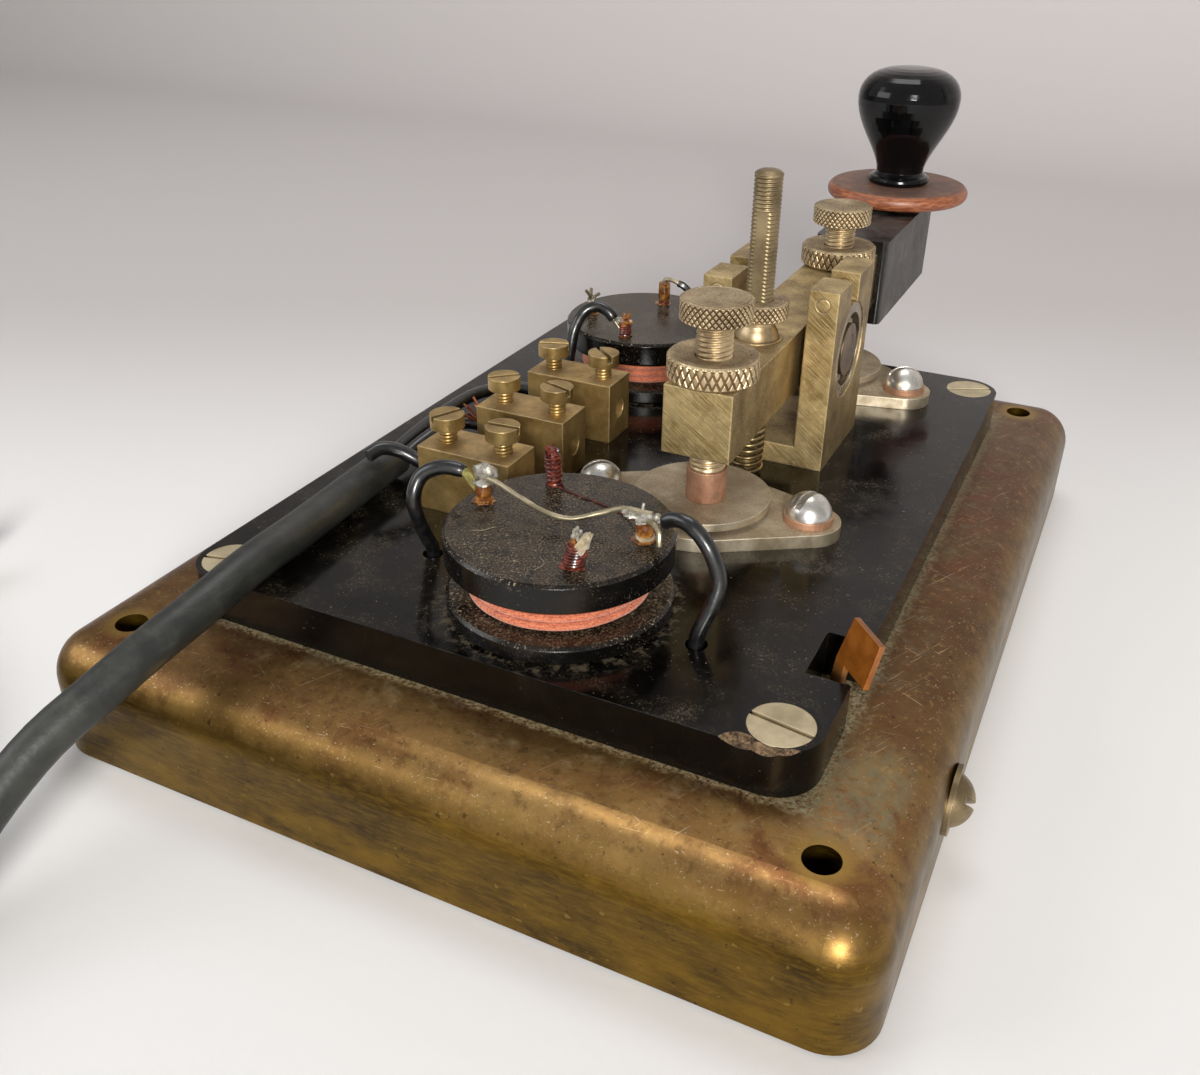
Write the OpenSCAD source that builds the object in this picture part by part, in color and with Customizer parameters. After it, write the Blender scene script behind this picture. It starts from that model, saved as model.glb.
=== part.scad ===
// Straight telegraph key on a hollow brass base, with ball-race lever bearings, two adjustable contacts,
// a tension spring under the lever, two choke coils, three terminal blocks and a rubber cable.
// Origin: centre of the four mounting holes, on the surface that the base stands on.
// +Z is up, +Y runs along the lever to its rear contact, and the knob is at -Y.

/* [Base pan] */
// Width of the base, across the lever
base_w = 161; // [155:1:174]
// Length of the base, along the lever
base_l = 207; // [203:1:224]
// Height of the base
base_h = 24; // [22:1:34]
// Thickness of the base's walls
base_wall = 3; // [2:0.5:4]
// Rounding of the base's corners and top edges
base_round = 9; // [6:0.5:10]
// Diameter of the mounting holes
base_hole_d = 6; // [4:0.5:7]
// Distance of the mounting holes from the base's edges
base_hole_inset = 13.15; // [12:0.05:14]
// Diameter of the posts around the mounting holes, inside the base
base_post_d = 12; // [10:0.5:14]

/* [Ebonite plate] */
// Width of the plate
plate_w = 124.4; // [118:0.2:130]
// Length of the plate
plate_l = 166.4; // [160:0.2:172]
// Thickness of the plate
plate_t = 9; // [6:0.5:12]
// Rounding of the plate's corners
plate_round = 8; // [4:0.5:10]
// Shift of the plate's centre along the base
plate_y = -1.6; // [-3:0.1:3]
// Distance that the plate overlaps the window's edge
plate_lap = 10.5; // [10.5:0.1:11.2]
// Least room in the window round a screw that passes it
window_room = 0.8; // [0.4:0.1:1]
// Diameter of the plate screws' heads
plate_screw_head_d = 11; // [8:0.5:12]
// Height of the plate screws' heads
plate_screw_head_t = 3; // [2:0.5:4]
// Diameter of the plate screws' shanks
plate_screw_d = 5; // [3:0.5:6]
// Distance of the plate screws from the plate's edges
plate_screw_inset = 7; // [6:0.5:8]
// Length of the notch in the plate's edge
notch_l = 13.4; // [11:0.2:16]
// Depth of the notch in the plate's edge
notch_depth = 7.8; // [6:0.2:10]
// Middle of the notch along the base
notch_y = 53.3; // [48:0.1:58]
// Radius of each hollow of the chipped place beside one plate screw
chip_r = 6.2; // [5.8:0.1:6.6]

/* [Side screw and tab] */
// Diameter of the side screw's head
side_head_d = 9.5; // [7:0.5:12]
// Height of the side screw's head
side_head_h = 3.2; // [2.5:0.1:4.5]
// Diameter of the side screw's shank
side_screw_d = 5; // [3:0.5:6]
// Length of the side screw's shank inside the wall
side_screw_l = 8; // [5:0.5:12]
// Diameter of the side washer
side_washer_d = 12.5; // [11:0.5:16]
// Thickness of the side washer
side_washer_t = 0.9; // [0.6:0.1:1.5]
// Place of the side screw along the base
side_screw_y = 55; // [20:1:70]
// Width of the edge tab's leaf
tab_w = 9.8; // [8:0.1:10]
// Height of the edge tab's leaf above the plate
tab_h = 9; // [6:0.1:11]
// Width of the edge tab's stem in the notch
tab_stem_w = 3; // [2:0.1:4]
// Sideways slant of the edge tab's leaf
tab_slant = 2; // [0:0.1:3]
// Thickness of the edge tab
tab_t = 1; // [0.6:0.1:1.2]
// Turn of the edge tab about the vertical
tab_turn = 132; // [125:1:140]
// Lean of the edge tab
tab_lean = 8; // [0:1:10]
// Distance of the edge tab's stem inside the plate's edge
tab_in = 4.1; // [3.6:0.1:4.6]
// Distance of the edge tab's stem before the notch's middle
tab_back = 0.5; // [0:0.1:1]

/* [Lever] */
// Place of the lever's middle line across the base
lever_x = -19.8; // [-21:0.1:-19]
// Width of the lever bar
lever_w = 14; // [12:0.2:16]
// Height of the lever bar
lever_h = 14; // [12:0.2:16]
// Height of the pivot above the plate
pivot_h = 24; // [22:0.2:26]
// Place of the pivot along the base
pivot_y = -27.5; // [-30:0.1:-25]
// Rear end of the lever bar
lever_rear_y = 25.7; // [24:0.1:30]
// Travel of the lever, in degrees
lever_travel = 1.6; // [1:0.05:2]

/* [Trunnion and races] */
// Outer width of the trunnion
trunnion_w = 30; // [29:0.2:32]
// Depth of the trunnion along the lever
trunnion_d = 28; // [26:0.5:32]
// Height of the trunnion above the plate
trunnion_h = 40.5; // [39:0.5:44]
// Thickness of the trunnion's cheeks
cheek_t = 6.5; // [6:0.1:7]
// Thickness of the trunnion's floor
trunnion_floor = 4.7; // [4:0.1:6]
// Width of the slit in each cheek
slit_w = 6; // [2:0.2:6.4]
// Shift of the slits from the pivot, toward the rear
slit_shift = 0.9; // [0:0.1:1.2]
// Outer diameter of the ball races
race_d = 21; // [20:0.2:22]
// Width of the ball races
race_t = 6; // [5:0.1:6.2]
// Diameter of the balls
ball_d = 3.8; // [3.6:0.1:4]
// Diameter of the circle that the balls run on
ball_circle_d = 14; // [13.6:0.1:14.4]
// Number of balls in each race
ball_count = 11; // [8:1:11]
// Diameter of the axle in the races
axle_d = 7; // [6:0.2:7.4]
// Diameter of the axle in the lever
axle_boss_d = 9; // [8.4:0.2:10]
// Diameter of the clamp screws
clamp_d = 2.9; // [2:0.1:3]
// Diameter of the clamp screws' heads
clamp_head_d = 5.2; // [4:0.2:6]
// Distance of the clamp screws below the trunnion's top
clamp_drop = 3; // [2.6:0.1:3.4]

/* [Contacts] */
// Place of the rear contact along the base
rear_y = 18.2; // [17:0.1:20]
// Place of the front contact along the base
front_y = -67; // [-68:0.1:-66]
// Diameter of the contact screws
screw_d = 7.4; // [6:0.1:8]
// Diameter of the contact screws' knurled heads
screw_head_d = 14; // [12:0.5:16]
// Height of the contact screws' knurled heads
screw_head_h = 4.4; // [3:0.2:6]
// Height of the rear screw's head above the lever
rear_head_rise = 11.6; // [9:0.1:14]
// Height of the front screw's head above the lever
front_head_rise = 10.1; // [9:0.1:14]
// Diameter of the lock nuts
lock_d = 18; // [16:0.5:20]
// Height of the lock nuts
lock_h = 5; // [3:0.1:6]
// Diameter of the contact tips
tip_d = 8.2; // [8:0.2:10]
// Length of the rear contact tip
rear_tip_l = 6.6; // [6:0.1:7]
// Diameter of the fixed contact discs
disc_d = 28; // [24:0.5:30]
// Thickness of the fixed contact discs
disc_t = 1.6; // [1.2:0.1:2]
// Height of the collar under each disc
disc_collar_h = 1; // [0.6:0.1:1.2]
// Diameter of the collar under each disc
disc_collar_d = 22; // [16:0.5:23]
// Diameter of the studs of the discs
disc_stud_d = 6; // [4:0.5:7]
// Thickness of the contact plates
flange_t = 2.8; // [2.4:0.1:3.2]
// Radius of the contact plates' middles
flange_r = 15.6; // [15:0.1:16]
// Radius of the contact plates' ends
flange_end_r = 6.6; // [6:0.1:7]
// Distance of the contact plates' screws from the middle
flange_reach = 21.9; // [21.5:0.1:22.5]
// Turn of the rear contact plate
rear_flange_turn = 8; // [0:1:10]
// Distance of the rear contact plate from the rear screw, across the lever
rear_flange_dx = 1.2; // [-1.5:0.1:1.5]
// Distance of the rear contact plate from the rear screw, along the lever
rear_flange_dy = -1.2; // [-1.5:0.1:1.5]
// Turn of the front contact plate
front_flange_turn = -11; // [-12:1:0]
// Diameter of the contact plates' screw heads
dome_d = 9.4; // [8:0.2:9.8]
// Height of the contact plates' screw heads
dome_h = 4.4; // [3:0.1:4.6]
// Diameter of the contact plates' screws
dome_screw_d = 4; // [3:0.2:5]
// Diameter of the contact plates' washers
dome_washer_d = 10; // [9.8:0.1:11]
// Thickness of the contact plates' washers
dome_washer_t = 1.5; // [0.8:0.1:2]

/* [Tension gear] */
// Place of the tension rod along the base
tension_y = -6.9; // [-8:0.1:-6]
// Diameter of the tension rod
rod_d = 5.8; // [5.4:0.1:6]
// Height of the rod's top above the lever
rod_rise = 34.4; // [30:0.2:38]
// Length of the rod below the lever
rod_drop = 4.5; // [3:0.1:5]
// Diameter of the rod's lower end and of the anchor's stud, inside the spring
spring_stud_d = 4.8; // [4.4:0.1:4.9]
// Depth of the flat along the rod
rod_flat = 0.6; // [0.4:0.1:1]
// Length of full thread above the flat
rod_full_l = 7.9; // [6:0.1:12]
// Diameter of the tension nut's knurl
nut_d = 12.4; // [11:0.1:13]
// Height of the tension nut's knurl
nut_h = 3.7; // [3:0.1:5]
// Height of the nut's knurl above the lever
nut_rise = 4.6; // [4.5:0.1:5]
// Radius of the ball under the tension nut, whose middle is level with the lever's top
nut_ball_r = 4.6; // [4.4:0.05:4.8]
// Depth of the ball below the lever's top
nut_ball_depth = 2.4; // [2:0.1:2.5]
// Diameter of the nut between its ball and its knurl
nut_neck_d = 7; // [6.8:0.1:7.4]
// Diameter of the seat sunk in the lever under the tension nut
seat_d = 10.8; // [10.4:0.1:11.6]
// Depth of the seat in the lever
seat_h = 3; // [2.8:0.1:3.4]
// Height of the seat's rim above the lever
seat_rim = 0.3; // [0.1:0.1:0.5]
// Mean diameter of the spring
spring_d = 6.4; // [6.3:0.05:6.8]
// Diameter of the spring's wire
spring_wire_d = 0.8; // [0.7:0.05:0.9]
// Turns of the spring
spring_turns = 10; // [8:1:11]
// Height of the anchor's stud above the plate
anchor_h = 4; // [3:0.1:5]
// Diameter of the spring anchor's shank
anchor_screw_d = 3; // [2.5:0.5:4]

/* [Handle] */
// Width of the handle block
block_w = 19; // [18:0.2:24]
// Near end of the handle block
block_rear_y = -79.5; // [-82:0.1:-79]
// Length of the handle block
block_l = 53.5; // [52:0.5:58]
// Height of the handle block's top above the lever
block_rise = 3.2; // [2:0.1:4]
// Height of the handle block
block_h = 21.7; // [20:0.1:24]
// Rounding of the handle block's upright edges
block_round = 1.5; // [0.5:0.1:3]
// Width of the lever's tongue in the handle block
tongue_w = 9; // [8:0.2:10]
// Height of the lever's tongue in the handle block
tongue_h = 9; // [8:0.2:10]
// Length of the lever's tongue in the handle block
tongue_l = 38; // [34:0.5:40]
// Place of the knob along the base
knob_y = -126; // [-127:0.1:-125]
// Diameter of the skirt
skirt_d = 39.2; // [38:0.2:42]
// Thickness of the skirt's rim
skirt_t = 4.2; // [3:0.1:5]
// Height of the skirt's hub under the rim
skirt_hub_h = 0.8; // [0.5:0.1:1.5]
// Diameter of the knob's head
knob_d = 27.7; // [26:0.1:30]
// Diameter of the knob's neck
knob_neck_d = 12.8; // [12:0.1:14]
// Diameter of the knob's collar
knob_collar_d = 17; // [16:0.1:19]
// Height of the knob
knob_h = 30.8; // [28:0.1:34]
// Diameter of the knob's bolt
knob_bolt_d = 5; // [4:0.5:6]
// Diameter of the handle screws
handle_screw_d = 3.5; // [3:0.5:4]

/* [Terminals] */
// Length of the terminal blocks, across the base
terminal_l = 21.3; // [20:0.1:24]
// Depth of the terminal blocks
terminal_d = 10.5; // [10:0.1:12]
// Height of the terminal blocks
terminal_h = 14; // [13:0.2:16]
// Middle of the terminal blocks across the base
terminal_x = 24; // [23:0.1:26]
// Middle of the rear terminal block along the base
terminal_rear_y = 35; // [34:0.1:36]
// Distance between the terminal blocks
terminal_pitch = 22.8; // [22:0.1:24]
// Diameter of the wire holes
wire_hole_d = 4.6; // [3.6:0.1:5]
// Height of the wire holes above the plate
wire_hole_h = 7; // [6.8:0.1:7.4]
// Distance between the two screws of a block
terminal_screw_gap = 13; // [12:0.1:14]
// Diameter of the terminal screws
terminal_screw_d = 3.5; // [3:0.1:4.2]
// Diameter of the terminal screws' heads
terminal_head_d = 7.1; // [6.4:0.1:8]
// Height of the terminal screws' heads
terminal_head_h = 2.8; // [2.4:0.1:4]
// Height of the screws' heads above the block
terminal_head_rise = 3.1; // [1:0.1:4]

/* [Coils] */
// Diameter of the bobbins' flanges
bobbin_d = 41.2; // [38:0.2:42]
// Thickness of the bobbins' lower flanges
bobbin_low_t = 3.6; // [2.5:0.1:4]
// Height of the space for the winding
winding_h = 6.4; // [6.2:0.1:7]
// Thickness of the bobbins' upper flanges
bobbin_top_t = 5.8; // [4:0.1:6]
// Diameter of the bobbins' hubs
hub_d = 12; // [10:0.5:14]
// Diameter of the windings' inner layers
winding_core_d = 29; // [26:0.2:31]
// Diameter of the wire in the windings' outer layers
winding_wire_d = 1.1; // [0.9:0.05:1.15]
// Turns of the windings' outer layers
winding_turns = 3; // [2:1:3]
// Place of the rear coil across the base
rear_coil_x = -7.9; // [-9:0.1:-7]
// Place of the rear coil along the base
rear_coil_y = 58.7; // [58:0.1:60]
// Place of the front coil across the base
front_coil_x = 23.5; // [23:0.1:25]
// Place of the front coil along the base
front_coil_y = -48.5; // [-50:0.1:-48]
// Diameter of the soldered ferrules
ferrule_d = 3.4; // [2.8:0.1:4]
// Height of the soldered ferrules
ferrule_h = 4.2; // [3:0.1:5]
// Diameter of the wire-wrapped pegs
peg_d = 2.6; // [2:0.1:3]
// Height of the wire-wrapped pegs
peg_h = 7; // [5:0.1:8]
// Depth of the pegs in the flanges
peg_depth = 2.5; // [1.5:0.1:3]
// Diameter of the sleeved leads
lead_d = 2.8; // [2.4:0.1:3]
// Diameter of the link wire
link_d = 1; // [0.8:0.05:1.2]

/* [Screws under the plate] */
// Diameter of the screws under the plate
fixing_d = 4; // [3:0.1:4.4]
// Diameter of these screws' heads
fixing_head_d = 7.2; // [6:0.2:8]
// Height of these screws' heads
fixing_head_h = 2.6; // [2:0.1:3]

/* [Cable] */
// Diameter of the cable
cable_d = 7.6; // [6:0.1:7.6]
// Diameter of the cable's cores
core_d = 3; // [2.4:0.1:3]
// Outermost radius of the cable's coil
coil_r = 47; // [46:0.5:50]
// Turns in each of the coil's two layers
coil_turns = 2; // [1:1:2]
// Diameter of the plug's body
plug_d = 16; // [12:0.5:18]
// Length of the plug's body
plug_l = 40; // [30:1:50]
// Diameter of the plug's pin
plug_pin_d = 6.35; // [6:0.05:6.5]
// Length of the plug's pin
plug_pin_l = 31; // [25:1:34]

/* [Clearances] */
// Clearance of pieces that are screwed or pressed together
fit = 0.05; // [0.02:0.01:0.06]
// Clearance of pieces that run on each other
run = 0.1; // [0.05:0.01:0.15]
// Clearance of loose pieces
loose = 0.3; // [0.2:0.05:0.4]

/* [Hidden] */
$fn = 64;

brass = [0.66, 0.55, 0.33];
pan_brass = [0.50, 0.38, 0.20];
nickel = [0.62, 0.58, 0.50];
steel = [0.75, 0.75, 0.75];
copper = [0.66, 0.38, 0.27];
ebonite = [0.06, 0.06, 0.06];
amber = [0.75, 0.42, 0.10];
bakelite = [0.50, 0.24, 0.14];
silk = [0.80, 0.42, 0.30];
rubber = [0.12, 0.14, 0.14];
sleeve = [0.08, 0.08, 0.09];
tin = [0.62, 0.60, 0.52];

// Overcut that carries a cut past the faces it opens
eps = 1;
plate_top = base_h + plate_t;
pivot_z = plate_top + pivot_h;
lever_top = pivot_z + lever_h / 2;
lever_bottom = pivot_z - lever_h / 2;
hole_x = base_w / 2 - base_hole_inset;
hole_y = base_l / 2 - base_hole_inset;
window_w = plate_w - 2 * plate_lap;
plate_screw_places = [
    for (sx = [-1, 1], sy = [-1, 1])
        [sx * (plate_w / 2 - plate_screw_inset), plate_y + sy * (plate_l / 2 - plate_screw_inset)]
];
// Middles of the chipped place's hollows, from the plate screw and the plate's rear edge and top
chips = [[-4.2, 1.5, 4.9], [0.3, 2.4, 4.6], [4.4, 1.2, 5]];
side_screw_z = base_h / 2;
cheek_x = (trunnion_w - cheek_t) / 2;
trunnion_top = plate_top + trunnion_h;
trunnion_screw_places = [for (s = [-1, 1]) [lever_x, pivot_y + s * trunnion_d / 4]];
clamp_z = trunnion_top - clamp_drop;
groove_r = ball_d / 2 + run;
outer_race_in = ball_circle_d / 2 + ball_d / 4 + 0.25;
inner_race_out = ball_circle_d / 2 - ball_d / 4 - 0.25;
flange_top = plate_top + flange_t;
disc_top = flange_top + disc_collar_h + disc_t;
rear_tip_z = disc_top + fit;
front_gap = (pivot_y - front_y + tip_d / 2) * sin(lever_travel) + fit;
front_tip_z = disc_top + front_gap;
tip_top = rear_tip_z + rear_tip_l;
rear_disc_place = [lever_x + rear_flange_dx, rear_y + rear_flange_dy];
front_disc_place = [lever_x, front_y];
rear_flange_ends = [for (s = [-1, 1]) flange_end(rear_disc_place, rear_flange_turn, s)];
front_flange_ends = [for (s = [-1, 1]) flange_end(front_disc_place, front_flange_turn, s)];
flange_ends = concat(rear_flange_ends, front_flange_ends);
// The window ends where the plate laps it, or further out if a contact plate's screw needs room to pass
screw_low_y = min([for (p = flange_ends) p[1]]) - dome_screw_d / 2;
window_front_y = min(plate_y - plate_l / 2 + plate_lap, screw_low_y - window_room);
window_rear_y = plate_y + plate_l / 2 - plate_lap;
terminal_ys = [for (i = [0:2]) terminal_rear_y - i * terminal_pitch];
terminal_fixing_places = [for (y = terminal_ys) [terminal_x, y]];
coil_places = [[rear_coil_x, rear_coil_y], [front_coil_x, front_coil_y]];
bobbin_h = bobbin_low_t + winding_h + bobbin_top_t;
bobbin_top = plate_top + bobbin_h;
block_top = lever_top + block_rise;
block_bottom = block_top - block_h;
skirt_top = block_top + skirt_hub_h + skirt_t;
tongue_bottom = pivot_z - tongue_h / 2;
handle_screw_ys = [for (k = [0.3, 0.75]) block_rear_y - k * tongue_l];
rod_bottom = lever_bottom - rod_drop;
nut_bottom = lever_top + nut_rise;

// Ferrules and pegs of the two coils, as x and y from the coil's middle
rear_ferrules = [[16.2, -1.3], [-15.5, -2]];
rear_pegs = [[8, -13.1], [-8.6, 11.5]];
front_ferrules = [[-1, 15.5], [14.1, 3.6]];
front_pegs = [[0.4, -11.8], [-14.2, -3.2]];

// Depth of the wires' middles under the plate's top, in the base
under = -plate_t - 2;
function on_plate(route) = [for (p = route) p + [0, 0, plate_top]];
// Points given from a place, with heights as they are
function beside(place, points) = [for (p = points) [place[0] + p[0], place[1] + p[1], p[2]]];
// Soldered joints that the leads and the link leave from
left_joint = coil_places[0] + rear_ferrules[0];
right_joint = coil_places[0] + rear_ferrules[1];
front_joint = coil_places[1] + front_ferrules[0];
// Routes of the leads and wires, with heights from the plate's top
lead_left_route = on_plate(concat(
    beside(left_joint, [
        [2.2, -0.2, bobbin_h + 3], [4.5, -0.8, bobbin_h + 4.6], [8.7, 0.2, bobbin_h + 5],
        [12.3, 1.6, bobbin_h + 3], [13.1, 3.4, bobbin_h - 0.8], [12.9, 2.6, 10], [13.5, -0.4, 4.5],
        [13.7, -2.2, 1], [13.7, -2.2, -plate_t / 2], [13.7, -2.2, under + 1.6], [14, -3.6, under + 0.3],
        [14.8, -7, under]
    ]),
    beside(terminal_fixing_places[0], [[0, 9, under], [0, 4, under]])
));
lead_right_route = on_plate(concat(
    beside(right_joint, [
        [-2.4, -0.5, bobbin_h + 3], [-4.6, -0.9, bobbin_h + 4.6], [-8.2, -0.1, bobbin_h + 4.6],
        [-12, 0.7, bobbin_h + 1.4], [-14.1, 0.9, 12], [-13.8, 2.3, 8], [-12.5, 3.5, 3.8], [-11.8, 3.8, 0.8],
        [-11.8, 3.8, -plate_t / 2], [-11.8, 3.8, under + 1.6], [-11.8, 2.3, under + 0.3], [-12, -1.1, under]
    ]),
    beside(rear_disc_place, [[-18.8, 23, under], [-21.2, 0.6, under]])
));
front_lead_route = on_plate(concat(
    beside(front_joint, [
        [2.9, 0, bobbin_h + 3.4], [4.7, 0, bobbin_h + 5.5], [7.7, 0.2, bobbin_h + 6.4],
        [10.5, 1.8, bobbin_h + 5], [11.9, 4.6, bobbin_h + 0.7], [12.3, 6.6, 9], [12.5, 7.2, 1],
        [12.5, 7.2, -plate_t / 2], [12.5, 7.2, under + 1.6], [11.7, 8.4, under + 0.3], [9.7, 11.2, under]
    ]),
    beside(terminal_fixing_places[2], [[2.2, -3.8, under]])
));
trunnion_wire_route = on_plate(concat(
    beside(terminal_fixing_places[1], [[-3.6, -1.8, under], [-14, -8.2, under]]),
    beside([lever_x, pivot_y], [[13.8, 18.5, under], [4, 9.9, under]])
));
front_wire_route = on_plate(concat(
    beside(coil_places[1], [
        [-9.5, -7.5, -0.4], [-9.5, -7.5, -plate_t / 2], [-9.5, -7.5, under + 1.6], [-10.3, -8.6, under + 0.3],
        [-12.5, -11.3, under]
    ]),
    beside(front_disc_place, [[25.8, 1, under], [23.8, -2, under]])
));
link_route = on_plate(concat(
    beside(left_joint, [
        [1.1, -0.6, bobbin_h + 4.8], [-2.9, 0.2, bobbin_h + 4.6], [-8.3, 1.8, bobbin_h + 3.8],
        [-14.3, 2.8, bobbin_h + 2.6]
    ]),
    beside(right_joint, [
        [12.8, 2.9, bobbin_h + 2.2], [8.4, 0.5, bobbin_h + 3.2], [4.4, -0.5, bobbin_h + 4.6],
        [-1, -0.5, bobbin_h + 4.8]
    ])
));
core_rear_route = on_plate(concat(
    [[46.2, 41.8, 9.9], [44.8, 38.8, 10.6], [42, 36.4, 9.6]],
    beside(terminal_fixing_places[0], [
        [14.6, 0.2, wire_hole_h + 0.8], [11.4, 0, wire_hole_h], [4, 0, wire_hole_h]
    ])
));
core_middle_route = on_plate(concat(
    [[45.8, 30.6, 4.4], [45.4, 25, 5.6], [43.6, 17, 7]],
    beside(terminal_fixing_places[1], [
        [16.4, 1, wire_hole_h + 0.2], [12.4, 0, wire_hole_h], [4, 0, wire_hole_h]
    ])
));
core_front_route = on_plate(concat(
    [[49.2, 30.6, 4.4], [49.2, 18, 5.8], [48, 2, 7], [45.6, -6, 7]],
    beside(terminal_fixing_places[2], [
        [17.4, 0.8, wire_hole_h + 0.2], [12.4, 0, wire_hole_h], [4, 0, wire_hole_h]
    ])
));

// Route of the cable from its sheath's end, over the base's rear edge and down to the coil
cable_route = concat(
    on_plate([[47.5, 31, 4.4], [47, 48, 4], [46, 65, 4], [45.5, 80, 4], [45.5, 92, 2.6], [47, 104, 0.2]]),
    [
        [49.5, 114, 29.6], [52.5, 123, 25.5], [54.5, 132, 20], [55, 141, 14.5], [55, 150, 9.8], [55, 159, 6.6],
        [55, 168, 5.2], [55, 178, 4.8]
    ]
);
coil_layer_z = cable_route[len(cable_route) - 1][2];
coil_step = cable_d + 0.6;
coil_centre = [cable_route[len(cable_route) - 1][0] + coil_r, cable_route[len(cable_route) - 1][1]];
coil_inner_r = coil_r - coil_turns * coil_step;
loop_rings = 24;
layer_rings = coil_turns * loop_rings;
climb_rings = loop_rings / 2;
// Distance that the climbing half turn bends inward, clear of the turns beside it
climb_dip = 1.8;
tail_drop = [[8, 0.4], [16, 2], [24, 4], [32, 4.8], [40, 5]];
tail_x = coil_centre[0] + coil_r;
coil_points = concat(
    [for (i = [0:layer_rings]) coil_point(180 - i * 360 / loop_rings, coil_r - i * coil_step / loop_rings, 0)],
    [for (i = [1:climb_rings]) coil_point(180 - i * 360 / loop_rings, coil_inner_r - climb_dip * sin(i * 180 / climb_rings), i / climb_rings)],
    [for (i = [1:layer_rings]) coil_point(-i * 360 / loop_rings, coil_inner_r + i * coil_step / loop_rings, 1)],
    [for (d = tail_drop) [tail_x, coil_centre[1] - d[0], coil_layer_z + coil_step - d[1]]]
);
plug_z = coil_points[len(coil_points) - 1][2];
plug_y = coil_points[len(coil_points) - 1][1];
// Place of the tie, in degrees past the coil's rightmost point
tie_turn = 80;
tie_gap = 0.6;
tie_t = 0.8;
tie_w = 6;

winding_r = winding_core_d / 2 + winding_wire_d / 2 + 0.35;
winding_pitch = (winding_h - winding_wire_d - 2 * run) / winding_turns;
spring_low = plate_top + run + spring_wire_d / 2;
spring_high = lever_bottom - loose - spring_wire_d / 2;
curl_rings = 8;

function coil_point(angle, r, rise) = [
    coil_centre[0] + r * cos(angle), coil_centre[1] + r * sin(angle), coil_layer_z + rise * coil_step
];
function flange_end(place, turn, side) = place + side * flange_reach * [cos(turn), sin(turn)];
function winding_points(place) = [
    for (i = [0:winding_turns * loop_rings])
        [
            place[0] + winding_r * cos(i * 360 / loop_rings),
            place[1] + winding_r * sin(i * 360 / loop_rings),
            plate_top + bobbin_low_t + run + winding_wire_d / 2 + i * winding_pitch / loop_rings
        ]
];
function spring_point(i) = [
    lever_x + spring_d / 2 * cos(i * 360 / curl_rings),
    tension_y + spring_d / 2 * sin(i * 360 / curl_rings),
    spring_low + i * (spring_high - spring_low) / (spring_turns * curl_rings)
];
spring_last = spring_turns * curl_rings;
spring_points = concat(
    [spring_point(0) - [0, spring_wire_d, 0]],
    [for (i = [0:spring_last]) spring_point(i)],
    [spring_point(spring_last) + [0, spring_wire_d, 0]]
);

// Least gap of a wound tube to itself, between points at least half a loop apart along it
function least_gap(points, d, apart) = min([
    for (i = [0:len(points) - 1], j = [i + apart:1:len(points) - 1]) norm(points[i] - points[j]) - d
]);
echo(winding_gap = least_gap(winding_points(coil_places[0]), winding_wire_d, loop_rings / 2));
echo(spring_gap = least_gap(spring_points, spring_wire_d, curl_rings / 2));
echo(cable_coil_gap = least_gap(coil_points, cable_d, loop_rings / 2));

// A tube swept along points, with its rings turned so that they never twist
function unit(v) = v / norm(v);
function along(p) = [
    for (i = [0:len(p) - 1]) unit(p[min(i + 1, len(p) - 1)] - p[max(i - 1, 0)])
];
function flattened(v, t) = unit(v - t * (v * t));
function first_side(t) = flattened(abs(t[2]) < 0.9 ? [0, 0, 1] : [1, 0, 0], t);
function sides_along(t, done) =
    len(done) == len(t) ? done : sides_along(t, concat(done, [flattened(done[len(done) - 1], t[len(done)])]));
module tube(points, d, sides) {
    t = along(points);
    n = sides_along(t, [first_side(t[0])]);
    last = len(points) - 1;
    rings = [
        for (i = [0:last], k = [0:sides - 1])
            points[i] + d / 2 * (n[i] * cos(k * 360 / sides) + cross(t[i], n[i]) * sin(k * 360 / sides))
    ];
    walls = [
        for (i = [0:last - 1], k = [0:sides - 1], half = [0, 1])
            half == 0
                ? [i * sides + k, (i + 1) * sides + k, i * sides + (k + 1) % sides]
                : [i * sides + (k + 1) % sides, (i + 1) * sides + k, (i + 1) * sides + (k + 1) % sides]
    ];
    ends = [
        for (k = [1:sides - 2], far = [0, 1])
            far == 0 ? [0, k, k + 1] : [last * sides, last * sides + k + 1, last * sides + k]
    ];
    polyhedron(rings, concat(walls, ends));
}

module at(places, z) {
    for (p = places) translate([p[0], p[1], z]) children();
}

module rounded_outline(w, l, r) {
    square([w - 2 * r, l], center = true);
    square([w, l - 2 * r], center = true);
    for (sx = [-1, 1], sy = [-1, 1]) translate([sx * (w / 2 - r), sy * (l / 2 - r)]) circle(r);
}

// Block with rounded upright edges and a rounded top, standing on z = 0
module rounded_block(w, l, h, r) {
    linear_extrude(h - r) rounded_outline(w, l, r);
    translate([-w / 2 + r, -l / 2 + r, 0]) cube([w - 2 * r, l - 2 * r, h]);
    for (s = [-1, 1]) {
        translate([-w / 2 + r, s * (l / 2 - r), h - r]) rotate([0, 90, 0]) cylinder(r = r, h = w - 2 * r);
        translate([s * (w / 2 - r), -l / 2 + r, h - r]) rotate([-90, 0, 0]) cylinder(r = r, h = l - 2 * r);
    }
    for (sx = [-1, 1], sy = [-1, 1]) translate([sx * (w / 2 - r), sy * (l / 2 - r), h - r]) sphere(r);
}

// Slotted head with its top at z = 0
module slot_cut(d, w, depth, turn) {
    rotate([0, 0, turn]) translate([-d / 2 - eps, -w / 2, -depth]) cube([d + 2 * eps, w, depth + eps]);
}

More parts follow.
